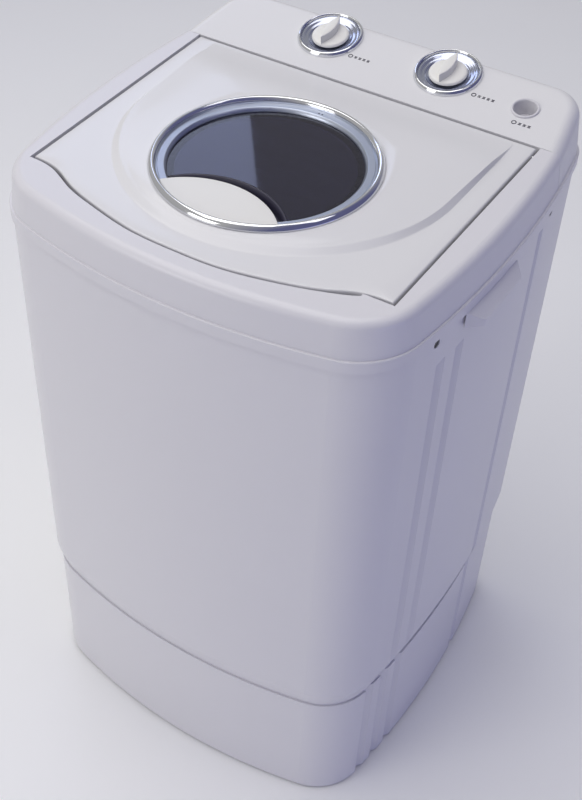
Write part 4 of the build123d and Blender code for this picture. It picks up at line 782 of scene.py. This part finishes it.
def make_grip_pocket():
    """Scooped pocket behind and under the grip, in a near-black finish that is painted shade for the recess.
    """
    sizes = bpy.context.scene.washer_sizes
    centre_y, radius = grip_circle()
    pocket_y = centre_y + sizes.pocket_reach
    bm = bmesh.new()
    front = (WINDOW.y, sizes.bezel_inner - sizes.pocket_wall, -1.0)
    back = (pocket_y, radius, 1.0)
    face = two_arc_outline(bm, front, back, POCKET_LOW.z, 64)
    mouth = raise_face(bm, face, POCKET_HIGH.z - POCKET_LOW.z)
    bmesh.ops.delete(bm, geom=[mouth], context="FACES_ONLY")
    floor = [edge for edge in bm.edges if all(abs(v.co.z - POCKET_LOW.z) < 1e-6 for v in edge.verts)]
    round_edges(bm, floor, 0.004, 5)
    bmesh.ops.recalc_face_normals(bm, faces=bm.faces[:])
    wall = sizes.pocket_wall
    make_piece(bm, "window_finger_pocket", "lid", "pocket_dark", ("lid_grip_pocket",), wall=wall, mend=False)


# ---------------------------------------------------------------- dials


def make_dial_ring(name, body, at, node):
    """Chrome ring round a dial."""
    sizes = bpy.context.scene.washer_sizes
    outer, inner, top = sizes.dial_outer, sizes.dial_inner, sizes.dial_height
    profile = [
        (inner, 0.0),
        (outer, 0.0),
        (outer, 0.0010),
        (outer - 0.0006, 0.0024),
        (outer - 0.0016, top - 0.0003),
        (outer - 0.0025, top),
        (inner + 0.0006, top - 0.0006),
        (inner, top - 0.0020),
    ]
    bm = bmesh.new()
    turned(bm, profile, on_panel(at), 128)
    make_piece(bm, name, body, "chrome_trim", (node,), bevel=0.0003, sharp=30.0)


def make_dial_cups():
    """Stepped plated cups under both dials."""
    sizes = bpy.context.scene.washer_sizes
    rim = sizes.dial_inner - 0.0001
    deep = -sizes.dial_depth + sizes.cup_base
    under = deep - sizes.cup_wall
    mouth, floor, bore = sizes.cup_mouth, sizes.cup_floor, sizes.cup_bore
    profile = [
        (rim, 0.0),
        (rim, 0.0015),
        (rim - 0.0010, 0.0015),
        (mouth + 0.0004, 0.0008),
        (mouth - 0.0006, 0.0002),
        (mouth - 0.0014, -0.0001),
        (floor + 0.0016, -0.0002),
        (floor + 0.0008, -0.0006),
        (floor, -0.0012),
        (floor - 0.0008, deep),
        (bore, deep),
        (bore, under),
        (floor + 0.0008, under),
        (mouth + 0.0012, -0.0012),
        (mouth + 0.0012, 0.0),
    ]
    bm = bmesh.new()
    for at in (WASH_AT, DRAIN_AT):
        turned(bm, profile, on_panel(at), 128)
    make_piece(bm, "dial_cup_pair", "cabinet", "dial_silver", ("dial_cups",), bevel=0.0003, sharp=25.0)


def make_knob(name, body, at, node):
    """Knob: a disc in the cup with a leaf-shaped pointer blade across it."""
    sizes = bpy.context.scene.washer_sizes
    top = sizes.knob_top
    radius = sizes.knob_radius
    bottom = sizes.cup_base + sizes.knob_gap - sizes.dial_depth
    bm = bmesh.new()
    profile = [
        (0.0, top - 0.0002),
        (radius - 0.0040, top),
        (radius - 0.0014, top - 0.0002),
        (radius - 0.0004, top - 0.0008),
        (radius, top - 0.0020),
        (radius, bottom + 0.0008),
        (radius - 0.0008, bottom),
        (0.0, bottom),
    ]
    turned(bm, profile, on_panel(at), 96, closed=False)
    blade = bmesh.new()
    tail = -radius + 0.0006
    start = blade.verts.new((0.0, sizes.blade_tip, top - 0.001))
    half_length = (sizes.blade_tip - tail) / 2
    bend = (half_length**2 + sizes.blade_half**2) / (2 * sizes.blade_half)
    turn = 2 * math.asin(half_length / bend)
    centre_y = (sizes.blade_tip + tail) / 2
    last = sweep_vert(blade, start, (bend - sizes.blade_half, centre_y), turn, 24)
    sweep_vert(blade, last, (sizes.blade_half - bend, centre_y), turn, 24)
    bmesh.ops.remove_doubles(blade, verts=blade.verts[:], dist=1e-6)
    face = bmesh.ops.contextual_create(blade, geom=blade.edges[:])["faces"][0]
    top_face = raise_face(blade, face, sizes.blade_rise)
    crest(blade, top_face, ((0.0002, 0.0003), (0.0003, 0.0002), (0.0006, 0.0002), (0.0014, 0.0002)))
    bmesh.ops.transform(blade, matrix=on_panel(at), verts=blade.verts[:])
    holder = bpy.data.meshes.new("blade")
    blade.to_mesh(holder)
    blade.free()
    bm.from_mesh(holder)
    bpy.data.meshes.remove(holder)
    make_piece(bm, name, body, "knob_white", (node,), sharp=42.0)


def inlet_place():
    """Middle of the fill inlet's flange on the panel's face."""
    start = Vector(INLET["pos_m"])
    rise = (WASH_AT - start).dot(PANEL_UP)
    return start + PANEL_UP * rise


def make_inlet():
    """Funnel of the fill inlet: flange, conical bowl, inner collar and spigot."""
    sizes = bpy.context.scene.washer_sizes
    at = inlet_place()
    outer, bore, depth = sizes.inlet_outer, sizes.inlet_bore, sizes.inlet_depth
    foot = -depth - sizes.inlet_spigot
    profile = [
        (outer, 0.0),
        (outer, 0.0007),
        (outer - 0.0006, 0.0014),
        (outer - 0.0016, 0.0015),
        (outer - 0.0024, 0.0006),
        (bore + 0.0032, -depth + 0.0050),
        (bore + 0.0026, -depth + 0.0036),
        (bore + 0.0018, -depth + 0.0032),
        (bore + 0.0016, -depth + 0.0042),
        (bore + 0.0006, -depth + 0.0042),
        (bore, -depth + 0.0034),
        (bore, foot),
        (bore + 0.0025, foot),
        (bore + 0.0025, -depth),
        (outer - 0.0020, 0.0),
    ]
    bm = bmesh.new()
    turned(bm, profile, on_panel(at), 96)
    make_piece(bm, "fill_inlet_funnel", "cabinet", "inlet_white", ("inlet_cup",), bevel=0.0002, sharp=28.0)


# ---------------------------------------------------------------- printed marks


def bar(bm, at, along, across, rise):
    """Thin printed bar on the panel."""
    before = set(bm.verts)
    bmesh.ops.create_cube(bm, size=1.0)
    fresh = [vert for vert in bm.verts if vert not in before]
    bmesh.ops.scale(bm, verts=fresh, vec=(along, across, rise))
    bmesh.ops.transform(bm, matrix=on_panel(at), verts=fresh)


def make_marks():
    """Generic printed marks in front of each dial and of the inlet: a sign and a row of dashes."""
    sizes = bpy.context.scene.washer_sizes
    rise = sizes.mark_rise
    side = Vector((1.0, 0.0, 0.0))
    back = PANEL_UP.cross(side)
    sign_inner, sign_outer = 0.0015, 0.0022
    first, pitch, stroke = 0.0052, 0.0042, 0.0005
    for name, middle_at, offset, dashes in (
        ("wash_mark", WASH_AT, (0.0305, -0.0160), 4),
        ("drain_mark", DRAIN_AT, (0.0325, -0.0150), 4),
        ("inlet_mark", inlet_place(), (-0.0010, -0.0190), 3),
    ):
        bm = bmesh.new()
        at = middle_at + side * offset[0] + back * offset[1] + PANEL_UP * (rise / 2)
        low, high = -rise / 2, rise / 2
        ring = [(sign_inner, low), (sign_outer, low), (sign_outer, high), (sign_inner, high)]
        turned(bm, ring, on_panel(at), 32)
        for step in range(dashes):
            along = at + side * (first + pitch * step)
            for row, width in ((-0.0010, 0.0026), (0.0, 0.0018), (0.0010, 0.0026)):
                bar(bm, along + back * row, width, stroke, rise)
        make_piece(bm, name, "cabinet", "black_plastic", finish="print")


# ---------------------------------------------------------------- studio


def area_light(name, at, aim, size, power, tint):
    """Rectangular soft light aimed at a place."""
    data = bpy.data.lights.new(name, "AREA")
    data.shape = "RECTANGLE"
    data.size, data.size_y = size
    data.energy = power
    data.color = tint
    light = bpy.data.objects.new(name, data)
    bpy.context.scene.collection.objects.link(light)
    light.location = at
    light.rotation_euler = (Vector(aim) - Vector(at)).to_track_quat("-Z", "Y").to_euler()


def make_floor():
    """Pale studio floor."""
    tint = tuple(bpy.context.scene.washer_colours.stage)
    bm = bmesh.new()
    bmesh.ops.create_grid(bm, x_segments=2, y_segments=2, size=6.0)
    mesh = bpy.data.meshes.new("studio_floor")
    bm.to_mesh(mesh)
    bm.free()
    floor = bpy.data.objects.new("studio_floor", mesh)
    bpy.context.scene.collection.objects.link(floor)
    mesh.materials.append(moulded("studio_floor", tint, 0.85, 0.0, 40.0))


def make_lights():
    """Soft lights: overhead, front left, one that the window mirrors, and two on the right."""
    tints = bpy.context.scene.washer_colours
    sky, pane, fill = tuple(tints.sky), tuple(tints.pane), tuple(tints.fill)
    area_light("overhead", (-0.5, -0.2, 2.6), (0.0, 0.0, 0.4), (2.4, 2.0), 26.5, sky)
    area_light("front_left", (-1.15, -2.6, 1.3), (0.0, 0.0, 0.35), (1.4, 1.4), 16.5, sky)
    area_light("window_panel", (-1.36, 1.27, 1.80), (0.0, -0.04, 0.64), (0.85, 0.5), 2.5, pane)
    area_light("right_fill", (2.0, -0.5, 0.30), (0.0, 0.0, 0.05), (1.4, 0.5), 3.0, fill)
    area_light("right_top", (1.0, 0.1, 2.3), (0.2, 0.0, 0.6), (0.6, 1.2), 3.0, sky)


def make_world():
    """Soft surround: bright on the left, cooler and darker towards the right."""
    tints = bpy.context.scene.washer_colours
    sky, shade = tuple(tints.sky), tuple(tints.shade)
    world = bpy.data.worlds.new("studio")
    bpy.context.scene.world = world
    world.use_nodes = True
    nodes = world.node_tree.nodes
    links = world.node_tree.links
    nodes.clear()
    output = nodes.new("ShaderNodeOutputWorld")
    background = nodes.new("ShaderNodeBackground")
    place = nodes.new("ShaderNodeTexCoord")
    split = nodes.new("ShaderNodeSeparateXYZ")
    right = nodes.new("ShaderNodeMapRange")
    mix = nodes.new("ShaderNodeMix")
    mix.data_type = "RGBA"
    right.inputs["From Min"].default_value = -0.1
    right.inputs["From Max"].default_value = 0.6
    links.new(place.outputs["Generated"], split.inputs["Vector"])
    links.new(split.outputs["X"], right.inputs["Value"])
    links.new(right.outputs["Result"], mix.inputs["Factor"])
    mix.inputs["A"].default_value = (*sky, 1.0)
    mix.inputs["B"].default_value = (*shade, 1.0)
    links.new(mix.outputs["Result"], background.inputs["Color"])
    background.inputs["Strength"].default_value = 0.42
    links.new(background.outputs["Background"], output.inputs["Surface"])


def make_camera():
    """Camera above the right front corner, looking down at the lid."""
    data = bpy.data.cameras.new("camera")
    data.sensor_width = 36.0
    data.lens = 59.04
    data.shift_x = 0.14
    data.shift_y = 0.0325
    camera = bpy.data.objects.new("camera", data)
    bpy.context.scene.collection.objects.link(camera)
    forward = Vector((-0.426, 0.5647, -0.7075)).normalized()
    right = Vector((0.811, 0.5845, -0.0226)).normalized()
    up = right.cross(forward)
    axes = Matrix((right, up, -forward)).transposed().to_4x4()
    camera.matrix_world = Matrix.Translation((0.4773, -0.7993, 1.239)) @ axes
    bpy.context.scene.camera = camera


# ---------------------------------------------------------------- operators


class WASHER_OT_finishes(bpy.types.Operator):
    """Give every part of the frame its finish"""

    bl_idname = "washer.finishes"
    bl_label = "Finishes"

    def execute(self, context):
        make_finishes()
        for part in frame["record"]["subparts"]:
            node = frame["nodes"][part["node"]]
            finish = FINISHES[part["material_slot"]]
            if not node.material_slots:
                node.data.materials.append(finish)
            for material_slot in node.material_slots:
                material_slot.material = finish
        return {"FINISHED"}


class WASHER_OT_lid(bpy.types.Operator):
    """Build the lid's skin and hinge bosses"""

    bl_idname = "washer.lid"
    bl_label = "Lid"

    def execute(self, context):
        make_lid_skin()
        make_hinge_bosses()
        return {"FINISHED"}


class WASHER_OT_window(bpy.types.Operator):
    """Build the window's ring, bezel and glass"""

    bl_idname = "washer.window"
    bl_label = "Window"

    def execute(self, context):
        make_trim_ring()
        make_bezel()
        make_glass()
        return {"FINISHED"}


class WASHER_OT_grip(bpy.types.Operator):
    """Build the finger grip and its pocket"""

    bl_idname = "washer.grip"
    bl_label = "Finger grip"

    def execute(self, context):
        make_grip()
        make_grip_pocket()
        return {"FINISHED"}


class WASHER_OT_dials(bpy.types.Operator):
    """Build the dial rings, cups and knobs"""

    bl_idname = "washer.dials"
    bl_label = "Dials"

    def execute(self, context):
        make_dial_ring("wash_ring", "cabinet", WASH_AT, "wash_dial_ring")
        make_dial_ring("drain_ring", "cabinet", DRAIN_AT, "drain_dial_ring")
        make_dial_cups()
        make_knob("wash_pointer_knob", "wash_dial", WASH_AT, "wash_knob")
        make_knob("drain_pointer_knob", "drain_dial", DRAIN_AT, "drain_knob")
        return {"FINISHED"}


class WASHER_OT_inlet(bpy.types.Operator):
    """Build the fill inlet"""

    bl_idname = "washer.inlet"
    bl_label = "Fill inlet"

    def execute(self, context):
        make_inlet()
        return {"FINISHED"}


class WASHER_OT_marks(bpy.types.Operator):
    """Print the generic marks on the panel"""

    bl_idname = "washer.marks"
    bl_label = "Panel marks"

    def execute(self, context):
        make_marks()
        return {"FINISHED"}


class WASHER_OT_stage(bpy.types.Operator):
    """Set up the floor, the soft studio light and the camera"""

    bl_idname = "washer.stage"
    bl_label = "Studio"

    def execute(self, context):
        make_floor()
        make_world()
        make_lights()
        make_camera()
        context.scene.view_settings.view_transform = "Standard"
        return {"FINISHED"}


class WASHER_PT_panel(bpy.types.Panel):
    """Sidebar list of the washer's pieces"""

    bl_idname = "WASHER_PT_panel"
    bl_label = "Mini washer"
    bl_space_type = "VIEW_3D"
    bl_region_type = "UI"
    bl_category = "Washer"

    def draw(self, context):
        for operator in OPERATORS:
            self.layout.operator(operator.bl_idname)
        for group in (context.scene.washer_sizes, context.scene.washer_colours):
            for prop in group.bl_rna.properties:
                if prop.identifier not in ("rna_type", "name"):
                    self.layout.prop(group, prop.identifier)


OPERATORS = (
    WASHER_OT_finishes,
    WASHER_OT_stage,
    WASHER_OT_lid,
    WASHER_OT_window,
    WASHER_OT_grip,
    WASHER_OT_dials,
    WASHER_OT_inlet,
    WASHER_OT_marks,
)
CLASSES = (WasherSizes, WasherColours, *OPERATORS, WASHER_PT_panel)


def register():
    for item in CLASSES:
        bpy.utils.register_class(item)
    bpy.types.Scene.washer_sizes = bpy.props.PointerProperty(type=WasherSizes)
    bpy.types.Scene.washer_colours = bpy.props.PointerProperty(type=WasherColours)


def unregister():
    del bpy.types.Scene.washer_colours
    del bpy.types.Scene.washer_sizes
    for item in reversed(CLASSES):
        bpy.utils.unregister_class(item)


def main():
    """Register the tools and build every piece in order."""
    register()
    bpy.ops.washer.finishes()
    bpy.ops.washer.stage()
    bpy.ops.washer.lid()
    bpy.ops.washer.window()
    bpy.ops.washer.grip()
    bpy.ops.washer.dials()
    bpy.ops.washer.inlet()
    bpy.ops.washer.marks()


if __name__ == "__main__":
    main()
